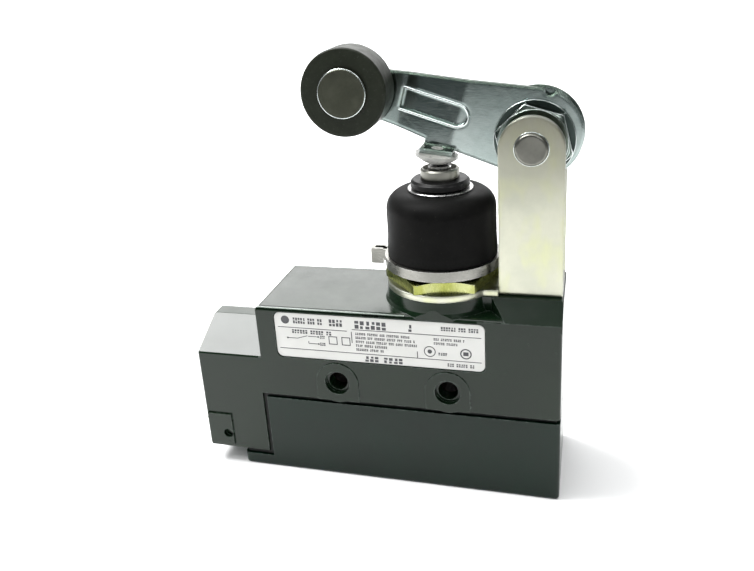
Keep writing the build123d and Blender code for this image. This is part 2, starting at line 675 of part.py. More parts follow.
with BuildPart() as boot:
    with BuildSketch(Plane.XZ):
        with BuildLine():
            Line((BOOT_R - BOOT_WALL, BOOT_BOTTOM), (BOOT_R, BOOT_BOTTOM))
            Line((BOOT_R, BOOT_BOTTOM), (BOOT_R, COLLAR_TOP + 0.4))
            Line((BOOT_R, COLLAR_TOP + 0.4), (BOOT_R - 0.15, 58.0))
            Line((BOOT_R - 0.15, 58.0), (BOOT_R - 0.15, BOOT_TOP - BOOT_SHOULDER))
            RadiusArc(
                (BOOT_R - 0.15, BOOT_TOP - BOOT_SHOULDER),
                (BOOT_R - 0.15 - BOOT_SHOULDER, BOOT_TOP),
                -BOOT_SHOULDER,
            )
            Polyline(
                (BOOT_R - 0.15 - BOOT_SHOULDER, BOOT_TOP),
                (STEM_R + 0.02, BOOT_TOP),
                (STEM_R + 0.02, BOOT_TOP - BOOT_WALL),
                (BOOT_R - 0.15 - BOOT_SHOULDER, BOOT_TOP - BOOT_WALL),
            )
            RadiusArc(
                (BOOT_R - 0.15 - BOOT_SHOULDER, BOOT_TOP - BOOT_WALL),
                (BOOT_R - 0.15 - BOOT_WALL, BOOT_TOP - BOOT_SHOULDER),
                BOOT_SHOULDER - BOOT_WALL,
            )
            Polyline(
                (BOOT_R - 0.15 - BOOT_WALL, BOOT_TOP - BOOT_SHOULDER),
                (BOOT_R - 0.15 - BOOT_WALL, 58.0),
                (BOOT_R - BOOT_WALL, COLLAR_TOP + 0.4),
                (BOOT_R - BOOT_WALL, BOOT_BOTTOM),
            )
        make_face()
    revolve(axis=Axis.Z)
boot.part.label = "rubber_boot"
export_step(boot.part, "parts/rubber_boot.step")

with BuildPart() as clamp:
    with BuildSketch(Plane.XY.offset(CLAMP_Z)):
        Circle(BOOT_R + CLAMP_T)
        Circle(BOOT_R, mode=Mode.SUBTRACT)
    extrude(amount=CLAMP_H)
    # folded lug where the band's ends meet
    lug_plane = Plane.XY.rotated((0, 0, 178))
    with BuildSketch(lug_plane.offset(CLAMP_Z)):
        for shift in (-1.0, 1.0):
            with Locations((CLAMP_LUG_R - 0.3, shift)):
                Rectangle(1.6, CLAMP_T)
    extrude(amount=CLAMP_H)
    with BuildSketch(lug_plane.offset(CLAMP_Z - CLAMP_LUG_DROP)):
        for shift in (-1.0, 1.0):
            with Locations((CLAMP_LUG_R + 1.4, shift)):
                Rectangle(2.8, CLAMP_T)
        with Locations((CLAMP_LUG_R + 2.8 - CLAMP_T / 2, 0)):
            Rectangle(CLAMP_T, 2.0 + CLAMP_T)
    extrude(amount=CLAMP_LUG_H)
clamp.part.label = "boot_clamp"
export_step(clamp.part, "parts/boot_clamp.step")

# ================================================================= plunger
WASHER_TOP = BOOT_TOP + 0.4
BOOT_NUT_TOP = WASHER_TOP + 2.0
COLLAR_NUT_TOP = BOOT_NUT_TOP + 2.3
COLLAR_NUT_R = 4.2

with BuildPart() as stem:
    with BuildSketch(Plane.XZ):
        with BuildLine():
            Polyline(
                (0, PISTON_Z),
                (PISTON_R - 0.3, PISTON_Z),
                (PISTON_R, PISTON_Z + 0.3),
                (PISTON_R, PISTON_Z + PISTON_H),
                (STEM_R, PISTON_Z + PISTON_H),
                (STEM_R, STEM_TOP - 0.3),
                (STEM_R - 0.3, STEM_TOP),
                (0, STEM_TOP),
                close=True,
            )
        make_face()
    revolve(axis=Axis.Z)
stem.part.label = "plunger_stem"
export_step(stem.part, "parts/plunger_stem.step")


def ring_part(name, outer, inner, z, height, edge):
    """Plain washer-like piece with a broken outer edge."""
    with BuildPart() as piece:
        with BuildSketch(Plane.XY.offset(z)):
            Circle(outer)
            Circle(inner, mode=Mode.SUBTRACT)
        extrude(amount=height)
        outside = piece.faces().filter_by(GeomType.CYLINDER).sort_by(lambda f: f.radius)[-1]
        chamfer(outside.edges().filter_by(GeomType.CIRCLE), length=edge)
    piece.part.label = name
    export_step(piece.part, f"parts/{name}.step")


SEAT_Z = BOOT_TOP - BOOT_WALL - 0.7
ring_part("spring_seat", 6.5, STEM_R, SEAT_Z, 0.7, 0.15)
ring_part("boot_washer", 7.1, STEM_R, BOOT_TOP, 0.4, 0.1)
ring_part("boot_nut", 6.4, STEM_R, WASHER_TOP, BOOT_NUT_TOP - WASHER_TOP, 0.5)

with BuildPart() as collar_nut:
    with BuildSketch(Plane.XZ):
        with BuildLine():
            Polyline(
                (STEM_R, BOOT_NUT_TOP),
                (COLLAR_NUT_R, BOOT_NUT_TOP),
                (COLLAR_NUT_R, COLLAR_NUT_TOP - 0.3),
                (COLLAR_NUT_R - 0.3, COLLAR_NUT_TOP),
                (COLLAR_NUT_R - 0.6, COLLAR_NUT_TOP),
                (COLLAR_NUT_R - 0.9, COLLAR_NUT_TOP - 0.8),
                (STEM_R, COLLAR_NUT_TOP - 0.8),
                close=True,
            )
        make_face()
    revolve(axis=Axis.Z)
collar_nut.part.label = "collar_nut"
export_step(collar_nut.part, "parts/collar_nut.step")

with BuildPart() as cup:
    with BuildSketch(Plane.XY.offset(CUP_Z)):
        Circle(CUP_R)
    extrude(amount=CUP_TOP - CUP_Z)
    chamfer(cup.edges().group_by(Axis.Z)[0], length=0.4)
    with BuildSketch(Plane.XY.offset(CUP_Z + 0.8)):
        Circle(CUP_IN_R)
    extrude(amount=CUP_TOP - CUP_Z, mode=Mode.SUBTRACT)
cup.part.label = "plunger_cup"
export_step(cup.part, "parts/plunger_cup.step")


def coil(name, low, high, mean_r, wire_r, turns):
    """Closed-pitch compression spring standing between two seats."""
    height = high - low - 2 * wire_r - 0.04
    with BuildPart() as spring:
        with BuildLine() as path:
            Helix(pitch=height / turns, height=height, radius=mean_r, center=(0, 0, low + wire_r + 0.02))
        with BuildSketch(Plane(origin=path.line @ 0, z_dir=path.line % 0)):
            Circle(wire_r)
        sweep(is_frenet=True)
    spring.part.label = name
    export_step(spring.part, f"parts/{name}.step")


coil("return_spring", COLLAR_TOP, SEAT_Z, 5.85, 0.45, 5.5)
coil("overtravel_spring", CUP_Z + 0.8, PISTON_Z, 3.3, 0.35, 5.0)

# =================================================================== lever
BUSH_R = 4.5
BUSH_Y = EAR_Y - SHEET - RUN
HUB_PLATE_FRONT = PLATE_FRONT + SHEET
HUB_PLATE_T = 1.0
FLANGE_FRONT = HUB_PLATE_FRONT + HUB_PLATE_T
NUT_FRONT = -1.6
LEVER_NUT_FLATS = 14.2
WASHER_T = 0.5
WASHER_FRONT = PLATE_FRONT - WASHER_T
JOG_SLOPE = (END_FRONT - PLATE_FRONT) / (JOG_END - JOG_START)

with BuildPart() as pivot_pin:
    with BuildSketch(xz(-EAR_Y - 0.9)):
        with Locations((PIVOT_X, -PIVOT_Z)):
            Circle(3.3)
    extrude(amount=0.9)
    fillet(pivot_pin.edges().filter_by(GeomType.CIRCLE).group_by(Axis.Y)[0], radius=0.6)
    with BuildSketch(xz(-EAR_Y)):
        with Locations((PIVOT_X, -PIVOT_Z)):
            Circle(PIN_R)
    extrude(amount=2 * EAR_Y + 1.9)
    with BuildSketch(xz(EAR_Y + 0.1)):
        with Locations((PIVOT_X, -PIVOT_Z)):
            Circle(PIN_R + 1)
            Circle(1.9, mode=Mode.SUBTRACT)
    extrude(amount=0.8, mode=Mode.SUBTRACT)
pivot_pin.part.label = "pivot_pin"
export_step(pivot_pin.part, "parts/pivot_pin.step")

with BuildPart() as pin_clip:
    with BuildSketch(xz(EAR_Y + 0.1)):
        with Locations((PIVOT_X, -PIVOT_Z)):
            Circle(4.3)
            Circle(1.95, mode=Mode.SUBTRACT)
        with Locations((PIVOT_X, -PIVOT_Z + 3.5)):
            Rectangle(3.2, 7.0, mode=Mode.SUBTRACT)
    extrude(amount=0.7)
pin_clip.part.label = "pin_clip"
export_step(pin_clip.part, "parts/pin_clip.step")

with BuildPart() as pivot_bushing:
    with BuildSketch(ARM.offset(-BUSH_Y)):
        Circle(BUSH_R)
        Circle(PIN_R + RUN, mode=Mode.SUBTRACT)
    extrude(amount=2 * BUSH_Y)
    with BuildSketch(ARM.offset(FLANGE_FRONT)):
        Circle(5.9)
        Circle(PIN_R + RUN, mode=Mode.SUBTRACT)
    extrude(amount=BUSH_Y - FLANGE_FRONT)
pivot_bushing.part.label = "pivot_bushing"
export_step(pivot_bushing.part, "parts/pivot_bushing.step")

with BuildPart() as lever_nut:
    with BuildSketch(ARM.offset(NUT_FRONT)):
        RegularPolygon(LEVER_NUT_FLATS / 2, 6, major_radius=False, rotation=0.5)
    extrude(amount=WASHER_FRONT - NUT_FRONT)
    with BuildSketch(ARM_EDGE):
        with BuildLine():
            Polyline(
                (0, NUT_FRONT),
                (LEVER_NUT_FLATS / 2 + 0.1, NUT_FRONT),
                (LEVER_NUT_FLATS / 2 + 1.3, NUT_FRONT + 0.7),
                (LEVER_NUT_FLATS / 2 + 1.3, WASHER_FRONT),
                (0, WASHER_FRONT),
                close=True,
            )
        make_face()
    revolve(axis=Axis((PIVOT_X, 0, PIVOT_Z), (0, 1, 0)), mode=Mode.INTERSECT)
    with BuildSketch(ARM.offset(NUT_FRONT)):
        Circle(BUSH_R + 0.02)
    extrude(amount=WASHER_FRONT - NUT_FRONT, mode=Mode.SUBTRACT)
lever_nut.part.label = "lever_nut"
export_step(lever_nut.part, "parts/lever_nut.step")

with BuildPart() as lever_washer:
    with BuildSketch(ARM.offset(WASHER_FRONT)):
        Circle(8.4)
        Circle(BUSH_R + 0.02, mode=Mode.SUBTRACT)
    extrude(amount=WASHER_T)
lever_washer.part.label = "lever_washer"
export_step(lever_washer.part, "parts/lever_washer.step")


def rib_band(near, far, half):
    """Slab in the rib's outline that lies between two depths behind the lever's joggled face."""
    with BuildPart() as band:
        with BuildSketch(ARM_EDGE):
            with BuildLine():
                Polyline(
                    (RIB_START - 2, PLATE_FRONT + near),
                    (JOG_START, PLATE_FRONT + near),
                    (JOG_END, END_FRONT + near),
                    (RIB_END + 2, END_FRONT + near),
                    (RIB_END + 2, END_FRONT + far),
                    (JOG_END, END_FRONT + far),
                    (JOG_START, PLATE_FRONT + far),
                    (RIB_START - 2, PLATE_FRONT + far),
                    close=True,
                )
            make_face()
        extrude(amount=2 * half, both=True)
        with BuildSketch(ARM.offset(-14)):
            with Locations((RIB_START + RIB_HALF, RIB_V)):
                Circle(half)
            with Locations(((RIB_START + RIB_HALF + RIB_END) / 2, RIB_V)):
                Rectangle(RIB_END - RIB_START - RIB_HALF, 2 * half)
        extrude(amount=28, mode=Mode.INTERSECT)
    return band.part


with BuildPart() as arm:
    with BuildSketch(ARM_EDGE):
        with BuildLine():
            Polyline(
                (-14, PLATE_FRONT),
                (JOG_START, PLATE_FRONT),
                (JOG_END, END_FRONT),
                (50, END_FRONT),
                (50, END_FRONT + SHEET),
                (JOG_END - 0.3, END_FRONT + SHEET),
                (JOG_START - 0.3, PLATE_FRONT + SHEET),
                (-14, PLATE_FRONT + SHEET),
                close=True,
            )
        make_face()
    extrude(amount=14, both=True)
    jogs = arm.edges().filter_by(lambda e: JOG_START - 2 < (e.center() - Vector(PIVOT_X, 0, PIVOT_Z)).dot(
        Vector(-math.cos(a), 0, math.sin(a))) < JOG_END + 2 and e.length > 20)
    fillet(jogs, radius=1.2)
    # outline: round hub end, tapering blade, round roller end, and the web of the foot
    with BuildSketch(ARM.offset(-14)):
        with Locations((HUB_U, HUB_V)):
            Circle(HUB_R)
        with BuildLine():
            Polyline(
                (1.45, 10.57), (33.0, 5.55), (41.3, 4.35), (ARM_L, 0), (40.3, -4.4), (33.0, -5.6),
                (5.8, -7.85), (-0.8, -8.27), (-3, 0), close=True
            )
        make_face()
        with Locations((ARM_L, 0)):
            Circle(4.4)
        with BuildLine():
            Polyline(
                (FOOT_U - FOOT_HALF, 0),
                (FOOT_U - FOOT_HALF, FOOT_V + FOOT_HALF * math.tan(FOOT_BEND)),
                (FOOT_U + FOOT_HALF, FOOT_V - FOOT_HALF * math.tan(FOOT_BEND)),
                (FOOT_U + FOOT_HALF, 0),
                close=True,
            )
        make_face()
    extrude(amount=28, mode=Mode.INTERSECT)
    with BuildSketch(FOOT.offset(-FOOT_T)):
        with BuildLine():
            Polyline(
                (-FOOT_HALF, FOOT_FRONT),
                (FOOT_HALF, FOOT_FRONT),
                (FOOT_HALF, PLATE_FRONT + SHEET / 2 + JOG_SLOPE * (FOOT_U + FOOT_HALF - JOG_START)),
                (-FOOT_HALF, PLATE_FRONT + SHEET / 2),
                close=True,
            )
        make_face()
    extrude(amount=FOOT_T)
    with BuildSketch(FOOT.offset(-FOOT_T)):
        with Locations((0, BUTTON_Y)):
            Circle(RIVET_R)
    extrude(amount=FOOT_T, mode=Mode.SUBTRACT)
    with BuildSketch(ARM.offset(-14)):
        Circle(BUSH_R)
        with Locations((ARM_L, 0)):
            Circle(AXLE_R - 0.4)
        with Locations((HUB_U, HUB_V + HUB_R - 0.2)):
            Circle(1.0)
    extrude(amount=28, mode=Mode.SUBTRACT)
    # rib pressed into the plate from the front, standing proud at the back
    add(rib_band(SHEET - 0.2, SHEET + RIB_DEPTH - 0.2, RIB_HALF + 0.4))
    add(rib_band(-1, RIB_DEPTH, RIB_HALF), mode=Mode.SUBTRACT)
arm.part.label = "roller_arm"
export_step(arm.part, "parts/roller_arm.step")

with BuildPart() as hub_plate:
    with BuildSketch(ARM.offset(HUB_PLATE_FRONT)):
        with Locations((HUB_U, HUB_V + 0.3)):
            Circle(HUB_R + 0.1)
        with BuildLine():
            Polyline((0, 8.0), (9.5, 4.4), (12.6, 2.0), (12.6, -2.0), (9.5, -4.4), (0, -8.0), close=True)
        make_face()
        Circle(BUSH_R, mode=Mode.SUBTRACT)
    extrude(amount=HUB_PLATE_T)
hub_plate.part.label = "hub_plate"
export_step(hub_plate.part, "parts/hub_plate.step")

with BuildPart() as button:
    with BuildSketch(FOOT):
        with Locations((0, BUTTON_Y)):
            Circle(BUTTON_R)
    extrude(amount=BUTTON_SPHERE)
    with Locations(ARM_EDGE.from_local_coords((BUTTON_U, BUTTON_Y, -BUTTON_V))):
        Sphere(BUTTON_SPHERE, mode=Mode.INTERSECT)
    with BuildSketch(FOOT.offset(-FOOT_T)):
        with Locations((0, BUTTON_Y)):
            Circle(RIVET_R)
    extrude(amount=FOOT_T + 0.1)
button.part.label = "contact_button"
export_step(button.part, "parts/contact_button.step")

# ================================================================== roller
ROLLER_BACK = END_FRONT - 0.8
ROLLER_FRONT = ROLLER_BACK - ROLLER_W
HEAD_BACK = ROLLER_FRONT - RUN

with BuildPart() as axle:
    with BuildSketch(ARM.offset(HEAD_BACK - 0.8)):
        with Locations((ARM_L, 0)):
            Circle(ROLLER_HEAD_R)
    extrude(amount=0.8)
    chamfer(axle.edges().filter_by(GeomType.CIRCLE).group_by(Axis.Y)[0], length=0.3)
    with BuildSketch(ARM.offset(HEAD_BACK)):
        with Locations((ARM_L, 0)):
            Circle(AXLE_R)
    extrude(amount=END_FRONT - HEAD_BACK)
    with BuildSketch(ARM.offset(END_FRONT)):
        with Locations((ARM_L, 0)):
            Circle(AXLE_R - 0.4)
    extrude(amount=SHEET)
    with BuildSketch(ARM.offset(END_FRONT + SHEET)):
        with Locations((ARM_L, 0)):
            Circle(3.6)
    extrude(amount=0.7)
    chamfer(axle.edges().filter_by(GeomType.CIRCLE).group_by(Axis.Y)[-1], length=0.4)
axle.part.label = "roller_axle"
export_step(axle.part, "parts/roller_axle.step")

with BuildPart() as roller:
    with BuildSketch(ARM.offset(ROLLER_FRONT)):
        with Locations((ARM_L, 0)):
            Circle(ROLLER_R)
            Circle(AXLE_R + RUN, mode=Mode.SUBTRACT)
    extrude(amount=ROLLER_W)
    treads = roller.edges().filter_by(GeomType.CIRCLE).filter_by(lambda e: e.radius > 9)
    fillet(treads, radius=0.5)
roller.part.label = "roller"
export_step(roller.part, "parts/roller.step")

with BuildPart() as roller_washer:
    with BuildSketch(ARM.offset(ROLLER_BACK + RUN)):
        with Locations((ARM_L, 0)):
            Circle(4.6)
            Circle(AXLE_R, mode=Mode.SUBTRACT)
    extrude(amount=END_FRONT - ROLLER_BACK - RUN)
roller_washer.part.label = "roller_washer"
export_step(roller_washer.part, "parts/roller_washer.step")
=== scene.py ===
"""Visual model of a roller-lever limit switch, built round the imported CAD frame.

Lengths are in metres in the CAD's own frame: +Z up along the plunger axis, +X from the conduit hub
towards the lever's pivot, +Y towards the back. MM turns millimetres into metres.
"""

import json
import math
import random

import bmesh
import bpy
from mathutils import Matrix, Vector


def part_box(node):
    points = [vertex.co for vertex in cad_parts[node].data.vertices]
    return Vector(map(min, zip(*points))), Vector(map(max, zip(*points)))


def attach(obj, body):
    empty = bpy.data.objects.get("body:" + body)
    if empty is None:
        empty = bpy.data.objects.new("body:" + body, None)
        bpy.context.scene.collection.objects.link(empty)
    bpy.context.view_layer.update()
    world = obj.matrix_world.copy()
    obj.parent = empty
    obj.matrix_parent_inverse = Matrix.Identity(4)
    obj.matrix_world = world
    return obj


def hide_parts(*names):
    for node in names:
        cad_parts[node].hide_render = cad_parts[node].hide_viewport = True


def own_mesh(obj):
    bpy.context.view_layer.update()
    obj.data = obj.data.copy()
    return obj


MM = 0.001
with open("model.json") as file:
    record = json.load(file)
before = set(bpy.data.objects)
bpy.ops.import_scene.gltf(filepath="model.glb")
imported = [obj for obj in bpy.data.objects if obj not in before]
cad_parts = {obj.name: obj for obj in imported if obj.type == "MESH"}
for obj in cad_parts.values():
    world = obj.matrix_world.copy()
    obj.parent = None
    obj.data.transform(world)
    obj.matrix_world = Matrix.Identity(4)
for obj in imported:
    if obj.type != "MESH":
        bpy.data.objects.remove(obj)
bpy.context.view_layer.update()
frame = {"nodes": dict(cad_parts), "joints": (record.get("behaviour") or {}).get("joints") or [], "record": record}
nodes = frame["nodes"]
scene = bpy.context.scene
scene.view_settings.view_transform = "Standard"

# ------------------------------------------------------------------ places read from the CAD
HOUSING_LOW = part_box("housing")[0]
LABEL_LOW, LABEL_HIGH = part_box("nameplate")
BOOT_LOW, BOOT_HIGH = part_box("rubber_boot")
SPRING_LOW, SPRING_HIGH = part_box("return_spring")
INNER_LOW, INNER_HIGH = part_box("overtravel_spring")
COLLAR_TOP = 55.6 * MM          # where the boot leaves the bushing's collar
JOINTS = {row["name"]: row for row in frame["joints"]}
TRAVEL = JOINTS["plunger_slide"]["range_m"][1]
ACTUATOR_TRAVEL = JOINTS["actuator_slide"]["range_m"][1]
PIVOT = Vector(JOINTS["lever_swing"]["pos_m"])
AXLE = Vector(JOINTS["roller_spin"]["pos_m"])
ALONG = (AXLE - PIVOT).normalized()
ACROSS = Vector((0, 1, 0)).cross(ALONG)
CONDUIT = next(row for row in frame["record"]["mounts"] if row["name"] == "conduit_entry")


# =============================================================================== material tools
class Graph:
    """Short hand for one material's node tree."""

    def __init__(self, name):
        self.material = bpy.data.materials.new(name)
        self.material.use_nodes = True
        self.tree = self.material.node_tree
        self.shader = self.tree.nodes["Principled BSDF"]
        self.place = self.tree.nodes.new("ShaderNodeTexCoord").outputs["Object"]

    def node(self, kind, **inputs):
        """A new node; keyword names are input names with _ for spaces."""
        made = self.tree.nodes.new(kind)
        for key, value in inputs.items():
            self.put(made.inputs[key.replace("_", " ")], value)
        return made

    def put(self, socket, value):
        """Links a socket, or sets a plain value."""
        if isinstance(value, bpy.types.NodeSocket):
            self.tree.links.new(value, socket)
        else:
            socket.default_value = value

    def set(self, **inputs):
        """Sets or links inputs of the main shader."""
        for key, value in inputs.items():
            self.put(self.shader.inputs[key.replace("_", " ")], value)

    def scaled(self, scale):
        """Object coordinates stretched by a factor on each axis."""
        mapping = self.node("ShaderNodeMapping", Vector=self.place)
        mapping.inputs["Scale"].default_value = scale
        return mapping.outputs["Vector"]

    def noise(self, scale, detail=4.0, rough=0.55, stretch=None):
        """Noise from 0 to 1; scale is in features per metre."""
        where = self.scaled(stretch) if stretch else self.place
        made = self.node("ShaderNodeTexNoise", Vector=where, Scale=scale, Detail=detail, Roughness=rough)
        return made.outputs["Fac"]

    def band(self, value, low, high, out_low=0.0, out_high=1.0):
        """Remaps value from low..high to out_low..out_high, clamped."""
        made = self.node("ShaderNodeMapRange", Value=value, From_Min=low, From_Max=high)
        self.put(made.inputs["To Min"], out_low)
        self.put(made.inputs["To Max"], out_high)
        made.clamp = True
        return made.outputs["Result"]

    def mix(self, factor, first, second):
        """Colour mix."""
        made = self.tree.nodes.new("ShaderNodeMix")
        made.data_type = "RGBA"
        self.put(made.inputs[0], factor)
        self.put(made.inputs[6], first)
        self.put(made.inputs[7], second)
        return made.outputs[2]

    def maths(self, operation, first, second):
        made = self.tree.nodes.new("ShaderNodeMath")
        made.operation = operation
        self.put(made.inputs[0], first)
        self.put(made.inputs[1], second)
        return made.outputs[0]

    def bump(self, height, distance, strength=1.0, under=None):
        """Bump from a height of 0 to 1 that stands for distance metres."""
        made = self.node("ShaderNodeBump", Height=height, Distance=distance, Strength=strength)
        if under is not None:
            self.put(made.inputs["Normal"], under)
        return made.outputs["Normal"]

    def edge_wear(self, radius, grain, low=0.02, high=0.10):
        """A mask that is 1 along sharp outer edges, broken up by noise."""
        rounded = self.node("ShaderNodeBevel", Radius=radius).outputs["Normal"]
        true = self.node("ShaderNodeNewGeometry").outputs["Normal"]
        dot = self.tree.nodes.new("ShaderNodeVectorMath")
        dot.operation = "DOT_PRODUCT"
        self.put(dot.inputs[0], rounded)
        self.put(dot.inputs[1], true)
        turned = self.maths("SUBTRACT", 1.0, dot.outputs["Value"])
        mask = self.band(turned, low, high)
        broken = self.band(self.noise(grain, 5.0, 0.7), 0.42, 0.62)
        return self.maths("MULTIPLY", mask, broken)


def grey(value):
    return (value, value, value, 1)


# ==================================================================================== materials
def painted(name, colour, deep, ior, wear=0.35):
    """Semi-gloss sprayed enamel over die-cast metal: orange peel, faint dust and rubbed edges."""
    g = Graph(name)
    cloud = g.band(g.noise(70, 5.0, 0.6), 0.35, 0.7)
    tint = g.mix(cloud, deep, colour)
    dust = g.band(g.noise(1400, 3.0, 0.8), 0.66, 0.78, 0.0, 0.10)
    tint = g.mix(dust, tint, (0.10, 0.13, 0.11, 1))
    edge = g.edge_wear(0.35 * MM, 900)
    tint = g.mix(g.maths("MULTIPLY", edge, wear), tint, (0.22, 0.26, 0.24, 1))
    g.set(Base_Color=tint)
    smear = g.noise(160, 4.0, 0.65, (1.0, 1.0, 2.5))
    g.set(Roughness=g.band(smear, 0.3, 0.75, 0.16, 0.25), IOR=ior)
    peel = g.bump(g.noise(900, 2.0, 0.5), 0.006 * MM, 0.8)
    cast = g.bump(g.noise(120, 3.0, 0.5), 0.04 * MM, 0.6, peel)
    g.set(Normal=cast)
    return g.material


def plated(name, colour, shade, rough=(0.2, 0.36), grain=(1.0, 1.0, 14.0), wear=0.5, warm=None, scratch=0.5,
           edge_shade=None, fade=None, soft=0.0):
    """Zinc-plated sheet or bar, faintly streaked along its rolling direction.

    edge_shade is painted shade: a dark colour on the faces that don't look along Y, the punched edges and turned
    tabs of a sheet;
    fade is painted shade too, a colour with the heights between which the plate turns to it going up; soft is the
    radius that rounds the shading of bends, and it needs a edge_shade, which then also colours the rounded edges
    that lean up, as painted shade.
    """
    g = Graph(name)
    cloud = g.band(g.noise(110, 5.0, 0.6), 0.35, 0.68)
    tint = g.mix(cloud, shade, colour)
    if warm is not None:
        patch = g.band(g.noise(160, 3.0, 0.5, (1.0, 1.0, 0.6)), 0.48, 0.66)
        tint = g.mix(patch, tint, warm)
    # painted shade: going up, the plate turns to the fade colour
    if fade is not None:
        height = g.tree.nodes.new("ShaderNodeSeparateXYZ")
        g.put(height.inputs[0], g.place)
        uneven = g.band(g.noise(90, 3.0, 0.5), 0.3, 0.7, -2.5 * MM, 2.5 * MM)
        ragged = g.maths("ADD", height.outputs["Z"], uneven)
        tint = g.mix(g.band(ragged, fade[1], fade[2]), tint, fade[0])
    streak = g.noise(700, 4.0, 0.6, grain)
    tint = g.mix(g.band(streak, 0.45, 0.8, 0.0, 0.22), tint, shade)
    # painted shade: faces that don't look along Y take the dark edge colour
    if edge_shade is not None:
        facing = g.tree.nodes.new("ShaderNodeSeparateXYZ")
        g.put(facing.inputs[0], g.node("ShaderNodeNewGeometry").outputs["Normal"])
        sideways = g.band(g.maths("ABSOLUTE", facing.outputs["Y"], 0.0), 0.25, 0.55, 1.0, 0.0)
        tint = g.mix(sideways, tint, edge_shade)
    edge = g.edge_wear(0.2 * MM, 1200)
    tint = g.mix(g.maths("MULTIPLY", edge, wear), tint, (0.92, 0.93, 0.94, 1))
    rounded = None
    if soft:
        rounded = g.node("ShaderNodeBevel", Radius=soft).outputs["Normal"]
        lean = g.tree.nodes.new("ShaderNodeSeparateXYZ")
        g.put(lean.inputs[0], rounded)
        # painted shade: rounded edges that lean up take the dark edge colour
        tint = g.mix(g.band(lean.outputs["Z"], 0.15, 0.5), tint, edge_shade)
    g.set(Base_Color=tint, Metallic=1.0, Roughness=g.band(streak, 0.3, 0.75, rough[0], rough[1]))
    fine = g.bump(streak, 0.012 * MM, scratch, rounded)
    dents = g.bump(g.noise(320, 3.0, 0.5), 0.03 * MM, 0.5, fine)
    g.set(Normal=dents)
    return g.material


def turned(name, colour, rough=(0.22, 0.38), grain=1800.0):
    """Turned or drawn metal with an even fine grain."""
    g = Graph(name)
    cloud = g.band(g.noise(240, 4.0, 0.6), 0.35, 0.7)
    dark = tuple(c * 0.72 for c in colour[:3]) + (1,)
    tint = g.mix(cloud, dark, colour)
    fine = g.noise(grain, 4.0, 0.7)
    g.set(Base_Color=tint, Metallic=1.0, Roughness=g.band(fine, 0.3, 0.7, rough[0], rough[1]))
    g.set(Normal=g.bump(fine, 0.01 * MM, 0.5))
    return g.material


def rubber(name, value, rough=(0.4, 0.58), spec=0.45):
    """Moulded rubber with a faint bloom, fine pores and dust."""
    g = Graph(name)
    bloom = g.band(g.noise(130, 5.0, 0.6), 0.4, 0.75)
    tint = g.mix(bloom, (value, value, value * 0.96, 1), (value * 1.9, value * 1.9, value * 1.8, 1))
    dust = g.band(g.noise(2600, 2.0, 0.7), 0.68, 0.78, 0.0, 0.18)
    tint = g.mix(dust, tint, (0.16, 0.15, 0.13, 1))
    g.set(Base_Color=tint, Roughness=g.band(bloom, 0, 1, rough[0], rough[1]))
    g.set(Specular_IOR_Level=spec, Normal=g.bump(g.noise(3200, 3.0, 0.6), 0.02 * MM, 0.6))
    return g.material


def plastic(name, colour, rough=(0.35, 0.5), speck=0.12, wear=0.0, spec=0.5):
    """Moulded plastic: slight mottling, fine texture."""
    g = Graph(name)
    lighter = tuple(min(1.0, c * 1.35 + 0.003) for c in colour[:3]) + (1,)
    tint = g.mix(g.band(g.noise(420, 5.0, 0.7), 0.4, 0.7, 0.0, 0.8), colour, lighter)
    tint = g.mix(g.band(g.noise(2400, 2.0, 0.7), 0.62, 0.75, 0.0, speck), tint, grey(0.4))
    if wear:
        tint = g.mix(g.maths("MULTIPLY", g.edge_wear(0.3 * MM, 1500), wear), tint, grey(0.35))
    g.set(Base_Color=tint, Roughness=g.band(g.noise(500, 3.0, 0.6), 0.3, 0.7, rough[0], rough[1]))
    g.set(Specular_IOR_Level=spec, Normal=g.bump(g.noise(2300, 3.0, 0.6), 0.02 * MM, 0.5))
    return g.material


def label_face(name):
    """Satin white printed film with slight yellowing and handling marks."""
    g = Graph(name)
    tint = g.mix(g.band(g.noise(90, 4.0, 0.6), 0.4, 0.7), (0.64, 0.64, 0.615, 1), (0.69, 0.69, 0.665, 1))
    smudge = g.band(g.noise(260, 5.0, 0.7, (1.0, 1.0, 2.0)), 0.60, 0.78, 0.0, 0.22)
    tint = g.mix(smudge, tint, (0.62, 0.61, 0.56, 1))
    g.set(Base_Color=tint, Roughness=0.38, Coat_Weight=0.3, Coat_Roughness=0.2)
    g.set(Normal=g.bump(g.noise(1400, 2.0, 0.5), 0.01 * MM, 0.4))
    return g.material


PAINT = painted("housing_enamel", (0.005, 0.015, 0.006, 1), (0.003, 0.010, 0.004, 1), 1.39)
# painted shade: the cover's enamel is a darker copy of the housing's, for the shaded floor it reflects
COVER_PAINT = painted("cover_enamel", (0.001, 0.012, 0.006, 1), (0.001, 0.008, 0.004, 1), 1.34)
# painted highlight: a light enamel for thin beads along top edges that catch the light
HIGHLIGHT_ENAMEL = painted("edge_highlight_enamel", (0.30, 0.35, 0.31, 1), (0.20, 0.24, 0.21, 1), 1.45)
# painted shade: the lever's edges, bent tab and edges leaning up take a dark colour
LEVER_ZINC = plated(
    "lever_zinc_plate", (0.50, 0.57, 0.55, 1), (0.37, 0.445, 0.425, 1), (0.10, 0.19), (1, 1, 8),
    scratch=0.2, edge_shade=(0.11, 0.15, 0.12, 1), soft=1.1 * MM,
)
# painted shade: the nut's faces that don't look along Y take a dark colour
DISC_ZINC = plated(
    "lever_disc_plate", (0.36, 0.42, 0.385, 1), (0.22, 0.27, 0.24, 1), (0.14, 0.24), (1, 1, 1),
    wear=0.8, scratch=0.2, edge_shade=(0.09, 0.12, 0.10, 1),
)
